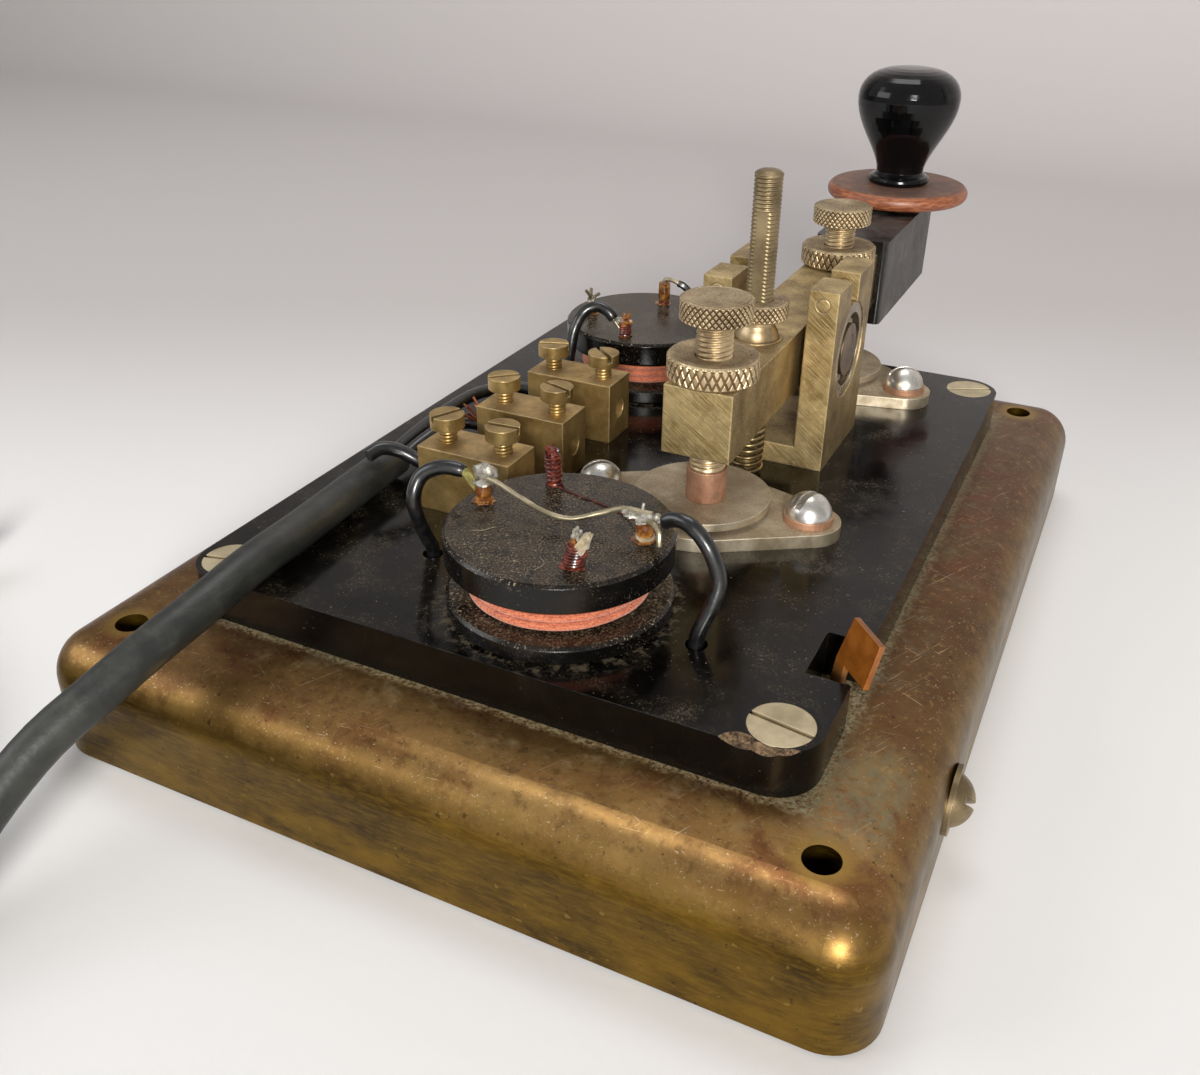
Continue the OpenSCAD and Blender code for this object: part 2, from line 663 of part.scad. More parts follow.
// Dome head standing on z = 0, with a screwdriver slot
module dome_head(d, h, turn) {
    ball = (d * d / 4 + h * h) / (2 * h);
    difference() {
        intersection() {
            translate([0, 0, h - ball]) sphere(ball);
            cylinder(d = d + eps, h = h + eps);
        }
        translate([0, 0, h]) slot_cut(d, d / 7, h / 2, turn);
    }
}

// Screw under the plate, from its head below the plate to its end at the given height
module fixing_screw(end_z) {
    translate([0, 0, base_h - fixing_head_h]) cylinder(d = fixing_head_d, h = fixing_head_h);
    translate([0, 0, base_h - eps]) cylinder(d = fixing_d, h = end_z - base_h + eps);
}

// Disc with a small bevel at both rims, for the knurled heads and nuts
module knurl(d, h) {
    bevel = d / 28;
    rotate_extrude() polygon([
        [0, 0], [d / 2 - bevel, 0], [d / 2, bevel], [d / 2, h - bevel], [d / 2 - bevel, h], [0, h]
    ]);
}

module base_pan() {
    hole_places = [for (sx = [-1, 1], sy = [-1, 1]) [sx * hole_x, sy * hole_y]];
    color(pan_brass) difference() {
        union() {
            difference() {
                rounded_block(base_w, base_l, base_h, base_round);
                translate([0, 0, -eps]) rounded_block(
                    base_w - 2 * base_wall, base_l - 2 * base_wall, base_h - base_wall + eps, base_round - base_wall
                );
            }
            at(hole_places, 0) cylinder(d = base_post_d, h = base_h - base_wall / 2);
        }
        translate([-window_w / 2, window_front_y, base_h - base_wall - eps])
            cube([window_w, window_rear_y - window_front_y, base_wall + 2 * eps]);
        at(hole_places, -eps) cylinder(d = base_hole_d, h = base_h + 2 * eps);
        at(plate_screw_places, base_h - base_wall - eps)
            cylinder(d = plate_screw_d + 2 * fit, h = base_wall + 2 * eps);
        translate([-base_w / 2 - eps, side_screw_y, side_screw_z])
            rotate([0, 90, 0]) cylinder(d = side_screw_d + 2 * fit, h = base_wall + 2 * eps);
    }
}

module ebonite_plate() {
    through = plate_t + 2 * eps;
    color(ebonite) translate([0, 0, base_h]) difference() {
        translate([0, plate_y, 0]) linear_extrude(plate_t) rounded_outline(plate_w, plate_l, plate_round);
        translate([-plate_w / 2 - eps, notch_y - notch_l / 2, -eps]) cube([notch_depth + eps, notch_l, through]);
        at(plate_screw_places, -eps) cylinder(d = plate_screw_d + 2 * fit, h = through);
        at(plate_screw_places, plate_t - plate_screw_head_t - fit)
            cylinder(d = plate_screw_head_d + 2 * fit, h = plate_screw_head_t + eps);
        for (c = chips) translate([plate_screw_places[1][0] + c[0], plate_y + plate_l / 2 + c[1], plate_t + c[2]])
            sphere(chip_r);
        at(concat(trunnion_screw_places, terminal_fixing_places, coil_places), -eps)
            cylinder(d = fixing_d + 2 * fit, h = through);
        at(flange_ends, -eps) cylinder(d = dome_screw_d + 2 * fit, h = through);
        at([rear_disc_place, front_disc_place], -eps) cylinder(d = disc_stud_d + 2 * fit, h = through);
        translate([lever_x, tension_y, -eps]) cylinder(d = anchor_screw_d + 2 * fit, h = through);
        at([lead_left_route[8], lead_right_route[8], front_lead_route[7]], -eps)
            cylinder(d = lead_d + 4 * loose, h = through);
        at([front_wire_route[1]], -eps) cylinder(d = lead_d + 4 * loose, h = through);
    }
}

module plate_screws() {
    slot_turns = [25, 171, 70, 15];
    color(nickel) for (i = [0:3]) translate([plate_screw_places[i][0], plate_screw_places[i][1], plate_top]) {
        difference() {
            translate([0, 0, -plate_screw_head_t]) cylinder(d = plate_screw_head_d, h = plate_screw_head_t);
            slot_cut(plate_screw_head_d, 0.9, 0.8, slot_turns[i]);
        }
        translate([0, 0, base_h - base_wall - plate_top])
            cylinder(d = plate_screw_d, h = plate_t + base_wall - plate_screw_head_t / 2);
    }
}

module side_washer() {
    color(nickel) translate([-base_w / 2 - side_washer_t, side_screw_y, side_screw_z]) rotate([0, 90, 0])
        difference() {
            cylinder(d = side_washer_d, h = side_washer_t);
            translate([0, 0, -eps]) cylinder(d = side_screw_d + 2 * fit, h = side_washer_t + 2 * eps);
        }
}

module side_screw() {
    color(nickel) translate([-base_w / 2 - side_washer_t, side_screw_y, side_screw_z]) rotate([0, -90, 0]) {
        dome_head(side_head_d, side_head_h, 40);
        translate([0, 0, -side_washer_t - side_screw_l]) cylinder(d = side_screw_d, h = side_washer_t + side_screw_l);
    }
}

// Slanting leaf above the plate, on a stem that reaches down the notch to the pan
module edge_tab() {
    stem_l = (plate_t - run - tab_t / 2 * sin(tab_lean)) / cos(tab_lean);
    color(amber) translate([-plate_w / 2 + tab_in, notch_y - tab_back, plate_top]) rotate([0, 0, tab_turn])
        rotate([90 - tab_lean, 0, 0]) translate([0, 0, -tab_t / 2]) linear_extrude(tab_t) polygon([
            [0, -stem_l], [tab_stem_w, -stem_l], [tab_stem_w, 0], [tab_w, 0], [tab_w + tab_slant / 2, tab_h],
            [tab_slant, tab_h], [0, 0]
        ]);
}

module trunnion() {
    color(brass) difference() {
        translate([lever_x - trunnion_w / 2, pivot_y - trunnion_d / 2, plate_top])
            cube([trunnion_w, trunnion_d, trunnion_h]);
        translate([lever_x - trunnion_w / 2 + cheek_t, pivot_y - trunnion_d / 2 - eps, plate_top + trunnion_floor])
            cube([trunnion_w - 2 * cheek_t, trunnion_d + 2 * eps, trunnion_h]);
        translate([lever_x - trunnion_w / 2 - eps, pivot_y, pivot_z])
            rotate([0, 90, 0]) cylinder(d = race_d + 2 * fit, h = trunnion_w + 2 * eps);
        translate([lever_x - trunnion_w / 2 - eps, pivot_y + slit_shift - slit_w / 2, pivot_z])
            cube([trunnion_w + 2 * eps, slit_w, trunnion_h]);
        at(trunnion_screw_places, plate_top - eps) cylinder(d = fixing_d + 2 * fit, h = trunnion_floor);
        for (s = [-1, 1])
            translate([lever_x + s * cheek_x, pivot_y - trunnion_d / 2 - eps, clamp_z])
                rotate([-90, 0, 0]) cylinder(d = clamp_d + 2 * fit, h = trunnion_d + 2 * eps);
    }
}

module trunnion_screws() {
    color(steel) at(trunnion_screw_places, 0) fixing_screw(plate_top + trunnion_floor - eps - fit);
}

module on_races() {
    for (s = [-1, 1]) translate([lever_x + s * cheek_x - race_t / 2, pivot_y, pivot_z]) rotate([0, 90, 0]) children();
}

module race_ring(inner, outer) {
    rotate_extrude() difference() {
        translate([inner, 0]) square([outer - inner, race_t]);
        translate([ball_circle_d / 2, race_t / 2]) circle(groove_r);
    }
}

module outer_races() {
    color(steel) on_races() race_ring(outer_race_in, race_d / 2);
}

module bearing_balls() {
    color(steel) on_races() for (i = [0:ball_count - 1])
        rotate([0, 0, i * 360 / ball_count]) translate([ball_circle_d / 2, 0, race_t / 2]) sphere(d = ball_d);
}

module clamp_screws() {
    head_h = 1.6;
    color(brass) for (s = [-1, 1])
        translate([lever_x + s * cheek_x, pivot_y + trunnion_d / 2, clamp_z]) rotate([90, 0, 0]) {
            cylinder(d = clamp_d, h = trunnion_d);
            translate([0, 0, trunnion_d]) cylinder(d = clamp_head_d, h = head_h);
        }
}

// Two-bolt flange outline: a round middle drawn to two round ends by straight sides
module flange_outline() {
    lean = asin((flange_r - flange_end_r) / flange_reach);
    // The straight sides lie this far inside the tangents, so that each crosses its circles cleanly
    inside = 0.03;
    corners = [[0, flange_r, 1], [0, flange_r, -1], [flange_reach, flange_end_r, -1], [flange_reach, flange_end_r, 1]];
    circle(flange_r);
    for (turn = [0, 180]) rotate([0, 0, turn]) {
        translate([flange_reach, 0]) circle(flange_end_r);
        polygon([
            for (q = corners) [q[0] + (q[1] - inside) * sin(lean), q[2] * (q[1] - inside) * cos(lean)]
        ]);
    }
}

module contact_plate(place, turn) {
    color(nickel) translate([place[0], place[1], plate_top]) rotate([0, 0, turn]) difference() {
        linear_extrude(flange_t) flange_outline();
        translate([0, 0, -eps]) cylinder(d = disc_stud_d + 2 * fit, h = flange_t + 2 * eps);
        for (s = [-1, 1]) translate([s * flange_reach, 0, -eps])
            cylinder(d = dome_screw_d + 2 * fit, h = flange_t + 2 * eps);
    }
}

module rear_contact_plate() {
    contact_plate(rear_disc_place, rear_flange_turn);
}

module front_contact_plate() {
    contact_plate(front_disc_place, front_flange_turn);
}

module contact_disc(place) {
    stud_l = flange_t + plate_t;
    color(nickel) translate([place[0], place[1], flange_top]) {
        translate([0, 0, disc_collar_h]) cylinder(d = disc_d, h = disc_t);
        cylinder(d = disc_collar_d, h = disc_collar_h);
        translate([0, 0, -stud_l]) cylinder(d = disc_stud_d, h = stud_l);
    }
}

module rear_contact_disc() {
    contact_disc(rear_disc_place);
}

module front_contact_disc() {
    contact_disc(front_disc_place);
}

module contact_plate_washers() {
    color(copper) at(flange_ends, flange_top) difference() {
        cylinder(d = dome_washer_d, h = dome_washer_t);
        translate([0, 0, -eps]) cylinder(d = dome_screw_d + 2 * fit, h = dome_washer_t + 2 * eps);
    }
}

module contact_plate_screws() {
    low = base_h - 4;
    slot_turns = [69, 35, 20, 110];
    color(steel) for (i = [0:3]) translate([flange_ends[i][0], flange_ends[i][1], flange_top + dome_washer_t]) {
        dome_head(dome_d, dome_h, slot_turns[i]);
        translate([0, 0, low - flange_top - dome_washer_t])
            cylinder(d = dome_screw_d, h = flange_top + dome_washer_t - low);
    }
}

module spring_anchor() {
    color(brass) translate([lever_x, tension_y, plate_top]) {
        cylinder(d = spring_stud_d, h = anchor_h);
        translate([0, 0, -plate_t]) cylinder(d = anchor_screw_d, h = plate_t);
    }
}

module tension_spring() {
    color(steel) tube(spring_points, spring_wire_d, 6);
}

module terminal_block(y) {
    color(brass) translate([terminal_x, y, plate_top]) difference() {
        translate([-terminal_l / 2, -terminal_d / 2, 0]) cube([terminal_l, terminal_d, terminal_h]);
        translate([-terminal_l / 2 - eps, 0, wire_hole_h]) rotate([0, 90, 0])
            cylinder(d = wire_hole_d, h = terminal_l + 2 * eps);
        for (s = [-1, 1]) translate([s * terminal_screw_gap / 2, 0, wire_hole_h])
            cylinder(d = terminal_screw_d + 2 * fit, h = terminal_h);
        translate([0, 0, -eps]) cylinder(d = fixing_d + 2 * fit, h = wire_hole_h - wire_hole_d / 2 + eps - fit);
    }
}

module terminal_block_rear() {
    terminal_block(terminal_ys[0]);
}

module terminal_block_middle() {
    terminal_block(terminal_ys[1]);
}

module terminal_block_front() {
    terminal_block(terminal_ys[2]);
}

module terminal_screws() {
    low = wire_hole_h + core_d / 2 + fit;
    head = terminal_h + terminal_head_rise;
    color(brass) for (y = terminal_ys, s = [-1, 1])
        translate([terminal_x + s * terminal_screw_gap / 2, y, plate_top]) {
            translate([0, 0, low]) cylinder(d = terminal_screw_d, h = head - low);
            difference() {
                translate([0, 0, head]) cylinder(d = terminal_head_d, h = terminal_head_h);
                translate([0, 0, head + terminal_head_h]) slot_cut(terminal_head_d, 1.1, 1.5, s * 30 + y);
            }
        }
}

module terminal_fixing_screws() {
    color(steel) at(terminal_fixing_places, 0) fixing_screw(plate_top + wire_hole_h - wire_hole_d / 2 - 2 * fit);
}

module bobbin(place, studs) {
    rim = 0.6;
    color(ebonite) translate([place[0], place[1], plate_top]) difference() {
        rotate_extrude() polygon([
            [fixing_d / 2 + fit, 0], [bobbin_d / 2 - rim, 0], [bobbin_d / 2, rim],
            [bobbin_d / 2, bobbin_low_t - rim], [bobbin_d / 2 - rim, bobbin_low_t],
            [hub_d / 2, bobbin_low_t], [hub_d / 2, bobbin_low_t + winding_h],
            [bobbin_d / 2 - rim, bobbin_low_t + winding_h], [bobbin_d / 2, bobbin_low_t + winding_h + rim],
            [bobbin_d / 2, bobbin_top - plate_top - rim], [bobbin_d / 2 - rim, bobbin_top - plate_top],
            [0, bobbin_top - plate_top], [0, bobbin_low_t + winding_h], [fixing_d / 2 + fit, bobbin_low_t + winding_h]
        ]);
        for (q = studs) translate([q[0], q[1], bobbin_top - plate_top - peg_depth])
            cylinder(d = q[2] + 2 * fit, h = peg_depth + eps);
    }
}

function studs_of(ferrules, pegs) = concat(
    [for (q = ferrules) [q[0], q[1], ferrule_d, ferrule_h]], [for (q = pegs) [q[0], q[1], peg_d, peg_h]]
);

module pegs(place, studs) {
    color(copper) for (q = studs)
        translate([place[0] + q[0], place[1] + q[1], bobbin_top - peg_depth]) cylinder(d = q[2], h = q[3] + peg_depth);
}

module winding(place) {
    color(silk) {
        tube(winding_points(place), winding_wire_d, 6);
        translate([place[0], place[1], plate_top + bobbin_low_t]) difference() {
            cylinder(d = winding_core_d, h = winding_h);
            translate([0, 0, -eps]) cylinder(d = hub_d + 2 * fit, h = winding_h + 2 * eps);
        }
    }
}

module rear_coil_bobbin() {
    bobbin(coil_places[0], studs_of(rear_ferrules, rear_pegs));
}

module rear_coil_winding() {
    winding(coil_places[0]);
}

module rear_coil_pegs() {
    pegs(coil_places[0], studs_of(rear_ferrules, rear_pegs));
}

module front_coil_bobbin() {
    bobbin(coil_places[1], studs_of(front_ferrules, front_pegs));
}

module front_coil_winding() {
    winding(coil_places[1]);
}

module front_coil_pegs() {
    pegs(coil_places[1], studs_of(front_ferrules, front_pegs));
}

module coil_fixing_screws() {
    color(steel) at(coil_places, 0) fixing_screw(plate_top + bobbin_low_t + winding_h - fit);
}

module rear_coil_link() {
    color(tin) tube(link_route, link_d, 8);
}

module rear_coil_lead_left() {
    color(sleeve) tube(lead_left_route, lead_d, 8);
}

module rear_coil_lead_right() {
    color(sleeve) tube(lead_right_route, lead_d, 8);
}

module front_coil_lead() {
    color(sleeve) tube(front_lead_route, lead_d, 8);
}

module panel_wires() {
    color(sleeve) {
        tube(trunnion_wire_route, lead_d, 8);
        tube(front_wire_route, lead_d, 8);
    }
}

module cable() {
    color(rubber) tube(cable_route, cable_d, 10);
}

module cable_cores() {
    color(sleeve) for (route = [core_rear_route, core_middle_route, core_front_route]) tube(route, core_d, 8);
}

module cable_coil() {
    color(rubber) tube(coil_points, cable_d, 6);
}

// Flat tie round the coil's turns
module cable_tie() {
    low = coil_layer_z - cable_d / 2 - tie_gap;
    high = coil_layer_z + coil_step + cable_d / 2 + tie_gap;
    inner = coil_inner_r + coil_step * tie_turn / 360 - cable_d / 2 - tie_gap;
    outer = coil_r - coil_step * (180 + tie_turn) / 360 + cable_d / 2 + tie_gap;
    color(sleeve) translate([coil_centre[0], coil_centre[1], 0]) rotate([0, 0, -tie_turn]) difference() {
        translate([inner - tie_t, -tie_w / 2, low - tie_t]) cube([outer - inner + 2 * tie_t, tie_w, high - low + 2 * tie_t]);
        translate([inner, -tie_w / 2 - eps, low]) cube([outer - inner, tie_w + 2 * eps, high - low]);
    }
}

module plug_body() {
    neck = 12;
    color(ebonite) translate([tail_x, plug_y, plug_z]) rotate([90, 0, 0]) rotate_extrude() polygon([
        [0, 0], [cable_d / 2 + 1, 0], [plug_d / 2 - 1, neck], [plug_d / 2, neck + 1], [plug_d / 2, plug_l - 1],
        [plug_d / 2 - 1, plug_l], [0, plug_l]
    ]);
}

module plug_pin() {
    tip = plug_pin_d / 2;
    color(brass) translate([tail_x, plug_y - plug_l, plug_z]) rotate([90, 0, 0]) rotate_extrude() polygon([
        [0, 0], [tip, 0], [tip, plug_pin_l - 8], [tip - 0.9, plug_pin_l - 6.5], [tip - 0.2, plug_pin_l - 4],
        [0.8, plug_pin_l], [0, plug_pin_l]
    ]);
}

module lever_bar() {
    color(brass) difference() {
        union() {
            translate([lever_x - lever_w / 2, block_rear_y, lever_bottom])
                cube([lever_w, lever_rear_y - block_rear_y, lever_h]);
            translate([lever_x - tongue_w / 2, block_rear_y - tongue_l, tongue_bottom])
                cube([tongue_w, tongue_l + eps, tongue_h]);
        }
        translate([lever_x - lever_w / 2 - eps, pivot_y, pivot_z]) rotate([0, 90, 0])
            cylinder(d = axle_boss_d + 2 * fit, h = lever_w + 2 * eps);
        at([[lever_x, rear_y], [lever_x, front_y]], lever_bottom - eps)
            cylinder(d = screw_d + 2 * fit, h = lever_h + 2 * eps);
        translate([lever_x, tension_y, lever_bottom - eps]) cylinder(d = rod_d + 4 * fit, h = lever_h + 2 * eps);
        translate([lever_x, tension_y, lever_top - seat_h]) cylinder(d = seat_d + 2 * fit, h = seat_h + eps);
        at([for (y = handle_screw_ys) [lever_x, y]], tongue_bottom - eps)
            cylinder(d = handle_screw_d + 2 * fit, h = tongue_h - 1 + eps);
    }
}

module lever_axle() {
    boss_l = trunnion_w - 2 * cheek_t - 2 * run;
    color(steel) translate([lever_x, pivot_y, pivot_z]) rotate([0, 90, 0]) {
        translate([0, 0, -boss_l / 2]) cylinder(d = axle_boss_d, h = boss_l);
        translate([0, 0, -trunnion_w / 2 + loose]) cylinder(d = axle_d, h = trunnion_w - 2 * loose);
    }
}

module inner_races() {
    color(steel) on_races() race_ring(axle_d / 2 + fit, inner_race_out);
}

module handle_block() {
    color(ebonite) difference() {
        translate([lever_x, block_rear_y - block_l / 2, block_bottom])
            linear_extrude(block_h) rounded_outline(block_w, block_l, block_round);
        translate([lever_x - tongue_w / 2 - fit, block_rear_y - tongue_l - fit, tongue_bottom - fit])
            cube([tongue_w + 2 * fit, tongue_l + fit + eps, tongue_h + 2 * fit]);
        at([for (y = handle_screw_ys) [lever_x, y]], block_bottom - eps) {
            cylinder(d = handle_screw_d + 2 * fit, h = pivot_z - block_bottom);
            cylinder(d = 2 * handle_screw_d + 2 * fit, h = 2 + eps);
        }
        translate([lever_x, knob_y, block_bottom - eps]) {
            cylinder(d = knob_bolt_d + 2 * fit, h = block_h + 2 * eps);
            cylinder(d = 2 * knob_bolt_d + 2 * fit, h = 4 + eps);
        }
    }
}

module handle_screws() {
    color(steel) at([for (y = handle_screw_ys) [lever_x, y]], block_bottom) {
        cylinder(d = 2 * handle_screw_d, h = 2);
        cylinder(d = handle_screw_d, h = tongue_bottom + tongue_h - 1 - fit - block_bottom);
    }
}

module knob_skirt() {
    rim = skirt_t / 2;
    color(bakelite) translate([lever_x, knob_y, block_top]) rotate_extrude() difference() {
        union() {
            square([skirt_d * 0.3, skirt_hub_h + rim]);
            translate([0, skirt_hub_h]) square([skirt_d / 2 - rim, skirt_t]);
            translate([skirt_d / 2 - rim, skirt_hub_h + rim]) circle(rim);
        }
        translate([-eps, -eps]) square([eps + knob_bolt_d / 2 + fit, skirt_hub_h + skirt_t + 2 * eps]);
    }
}

// Pear outline: collar bead, neck, a smooth swell to the head, and a flattened top
module knob() {
    bead = 2.4;
    neck_z = 3.3;
    swell_z = 0.745 * knob_h;
    neck_r = knob_neck_d / 2;
    head_r = knob_d / 2;
    collar_r = knob_collar_d / 2;
    bolt_r = knob_bolt_d / 2 + fit;
    bolt_top = 0.62 * knob_h;
    color(ebonite) translate([lever_x, knob_y, skirt_top]) rotate_extrude() polygon(concat(
        [[bolt_r, 0]],
        [for (a = [-90:30:90]) [collar_r - bead / 2 + bead / 2 * cos(a), bead / 2 + bead / 2 * sin(a)]],
        [for (i = [0:10]) [
            neck_r + (head_r - neck_r) * pow(sin(i * 9), 1.6), neck_z + (swell_z - neck_z) * i / 10
        ]],
        [for (a = [10:10:90]) [
            head_r * pow(cos(a), 0.6), swell_z + (knob_h - swell_z) * sin(a)
        ]],
        [[0, bolt_top], [bolt_r, bolt_top]]
    ));
}

module knob_bolt() {
    head_h = 4;
    color(steel) translate([lever_x, knob_y, block_bottom]) {
        cylinder(d = 2 * knob_bolt_d, h = head_h);
        cylinder(d = knob_bolt_d, h = skirt_top + 0.6 * knob_h - block_bottom);
    }
}

module tension_seat() {
    color(brass) translate([lever_x, tension_y, lever_top]) difference() {
        translate([0, 0, -seat_h]) cylinder(d = seat_d, h = seat_h + seat_rim);
        translate([0, 0, -seat_h - eps]) cylinder(d = rod_d + 4 * fit, h = seat_h + 2 * eps);
        sphere(nut_ball_r + run);
    }
}

module contact_screw(y, head_z) {
    color(brass) translate([lever_x, y, tip_top + fit]) {
        cylinder(d = screw_d, h = head_z - tip_top);
        translate([0, 0, head_z - tip_top - fit]) knurl(screw_head_d, screw_head_h);
    }
}

module contact_tip(y, low) {
    color(copper) translate([lever_x, y, low]) cylinder(d = tip_d, h = tip_top - low);
}

module lock_nut(y) {
    color(brass) translate([lever_x, y, lever_top + fit]) difference() {
        knurl(lock_d, lock_h);
        translate([0, 0, -eps]) cylinder(d = screw_d + 2 * fit, h = lock_h + 2 * eps);
    }
}

module rear_contact_screw() {
    contact_screw(rear_y, lever_top + rear_head_rise);
}

module rear_contact_tip() {
    contact_tip(rear_y, rear_tip_z);
}

module rear_lock_nut() {
    lock_nut(rear_y);
}

module front_contact_screw() {
    contact_screw(front_y, lever_top + front_head_rise);
}

module front_contact_tip() {
    contact_tip(front_y, front_tip_z);
}

module front_lock_nut() {
    lock_nut(front_y);
}

module tension_nut() {
    color(brass) translate([lever_x, tension_y, nut_bottom]) difference() {
        union() {
            knurl(nut_d, nut_h);
            translate([0, 0, -nut_rise]) intersection() {
                sphere(nut_ball_r);
                translate([0, 0, -nut_ball_depth]) cylinder(r = nut_ball_r + eps, h = nut_ball_depth + nut_ball_r + eps);
            }
            translate([0, 0, -nut_rise / 2]) cylinder(d = nut_neck_d, h = nut_rise);
        }
        translate([0, 0, -nut_rise - nut_ball_depth - eps])
            cylinder(d = rod_d + 2 * fit, h = nut_rise + nut_ball_depth + nut_h + 2 * eps);
    }
}

module tension_rod() {
    rod_l = rod_rise + lever_top - rod_bottom;
    color(brass) translate([lever_x, tension_y, rod_bottom]) difference() {
        union() {
            cylinder(d = spring_stud_d, h = rod_drop + eps);
            translate([0, 0, rod_drop]) cylinder(d = rod_d, h = rod_l - rod_drop);
        }
        translate([-rod_d, rod_d / 2 - rod_flat, rod_drop])
            cube([2 * rod_d, rod_d, rod_l - rod_drop - rod_full_l]);
    }
}

base_pan();
ebonite_plate();
plate_screws();
side_washer();
side_screw();
edge_tab();
trunnion();
trunnion_screws();
outer_races();
bearing_balls();
clamp_screws();
rear_contact_plate();
front_contact_plate();
rear_contact_disc();
front_contact_disc();
contact_plate_washers();
contact_plate_screws();
spring_anchor();
tension_spring();
terminal_block_rear();
terminal_block_middle();
terminal_block_front();
terminal_screws();
terminal_fixing_screws();
rear_coil_bobbin();
rear_coil_winding();
rear_coil_pegs();
front_coil_bobbin();
front_coil_winding();
front_coil_pegs();
coil_fixing_screws();
rear_coil_link();
rear_coil_lead_left();
rear_coil_lead_right();
front_coil_lead();
panel_wires();
cable();
cable_cores();
cable_coil();
cable_tie();
plug_body();
plug_pin();
lever_bar();
lever_axle();
inner_races();
handle_block();
handle_screws();
knob_skirt();
knob();
knob_bolt();
tension_seat();
rear_contact_screw();
rear_contact_tip();
rear_lock_nut();
front_contact_screw();
front_contact_tip();
front_lock_nut();
tension_nut();
tension_rod();
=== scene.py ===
"""Straight telegraph key: the looks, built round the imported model.
Lengths in the tables are millimetres, and colours run from 0 to 255 as a picture program shows them."""

from math import cos, hypot, pi, radians, sin, sqrt

import bpy
from mathutils import Matrix, Vector, noise


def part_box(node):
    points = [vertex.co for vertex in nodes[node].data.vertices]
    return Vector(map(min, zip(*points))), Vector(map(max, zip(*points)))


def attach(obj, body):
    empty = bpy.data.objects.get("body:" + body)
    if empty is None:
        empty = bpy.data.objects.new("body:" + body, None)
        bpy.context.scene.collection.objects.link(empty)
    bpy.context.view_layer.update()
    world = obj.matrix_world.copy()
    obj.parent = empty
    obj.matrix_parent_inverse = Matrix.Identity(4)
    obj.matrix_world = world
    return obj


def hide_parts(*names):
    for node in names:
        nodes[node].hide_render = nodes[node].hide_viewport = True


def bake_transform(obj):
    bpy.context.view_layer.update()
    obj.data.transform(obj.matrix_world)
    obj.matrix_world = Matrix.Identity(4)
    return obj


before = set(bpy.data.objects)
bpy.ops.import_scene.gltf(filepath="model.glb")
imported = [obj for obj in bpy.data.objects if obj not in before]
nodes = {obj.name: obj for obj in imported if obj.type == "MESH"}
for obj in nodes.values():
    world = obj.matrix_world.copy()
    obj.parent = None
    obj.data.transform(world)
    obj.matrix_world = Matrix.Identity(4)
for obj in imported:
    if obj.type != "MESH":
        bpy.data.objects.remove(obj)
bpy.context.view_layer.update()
scene = bpy.context.scene
MM = 0.001
TAU = 2 * pi


def srgb(*tone):
    """Linear RGBA of a colour from 0 to 255."""
    shares = (c / 255 for c in tone)
    return tuple(s / 12.92 if s <= 0.04045 else ((s + 0.055) / 1.055) ** 2.4 for s in shares) + (1,)


def link(name, data):
    item = bpy.data.objects.new(name, data)
    scene.collection.objects.link(item)
    return item


# Camera: solved from the base's holes and the plate's edges, for a frame of 1200 by 1075
CAMERA_PLACE = Vector((-90.93, 212.89, 146.62)) * MM
CAMERA_YAW, CAMERA_PITCH, CAMERA_ROLL = (radians(a) for a in (25.989, 29.865, 0.509))
CAMERA_LENS, CAMERA_SENSOR, CAMERA_CLIP = 34.332, 36, (0.01, 20)


def make_camera():
    ahead = Vector((
        sin(CAMERA_YAW) * cos(CAMERA_PITCH),
        -cos(CAMERA_YAW) * cos(CAMERA_PITCH),
        -sin(CAMERA_PITCH),
    ))
    level = ahead.cross(Vector((0, 0, 1))).normalized()
    upright = level.cross(ahead)
    c, s = cos(CAMERA_ROLL), sin(CAMERA_ROLL)
    right, up = c * level + s * upright, -s * level + c * upright
    data = bpy.data.cameras.new("camera")
    data.sensor_fit = "HORIZONTAL"
    data.sensor_width = CAMERA_SENSOR
    data.lens = CAMERA_LENS
    data.clip_start, data.clip_end = CAMERA_CLIP
    camera = link("camera", data)
    camera.matrix_world = Matrix.Translation(CAMERA_PLACE) @ Matrix((right, up, -ahead)).transposed().to_4x4()
    scene.camera = camera


make_camera()


# Materials

LEVEL = 0.97  # a face counts as level from this upward part of its normal
PLATE_HALF, PLATE_BACK = (62.2, 83.2), 1.6  # the plate's outline, and how far its middle is from the pan's
HOLES_HALF = (67.35, 90.35)


class Tree:
    """Node tree with short ways to add nodes. A value is a socket, a number, a vector or a colour."""

    def __init__(self, tree):
        self.tree = tree

    def fill(self, node, values):
        """Links or sets a node's inputs, and leaves out those without a value."""
        for key, value in values.items():
            if isinstance(value, bpy.types.NodeSocket):
                self.tree.links.new(value, node.inputs[key])
            elif value is not None:
                is_colour = node.inputs[key].type == "RGBA"
                node.inputs[key].default_value = srgb(*value) if is_colour else value

    def add(self, kind, values=None, **settings):
        node = self.tree.nodes.new("ShaderNode" + kind)
        for key, value in settings.items():
            setattr(node, key, value)
        self.fill(node, values or {})
        return node

    def math(self, operation, a, b=0.0, c=0.0):
        return self.add("Math", {0: a, 1: b, 2: c}, operation=operation).outputs[0]

    def times(self, product, *factors):
        for factor in factors:
            product = self.math("MULTIPLY", product, factor)
        return product

    def scaled(self, value, slope, start):
        """start plus slope times value."""
        return self.math("MULTIPLY_ADD", value, slope, start)


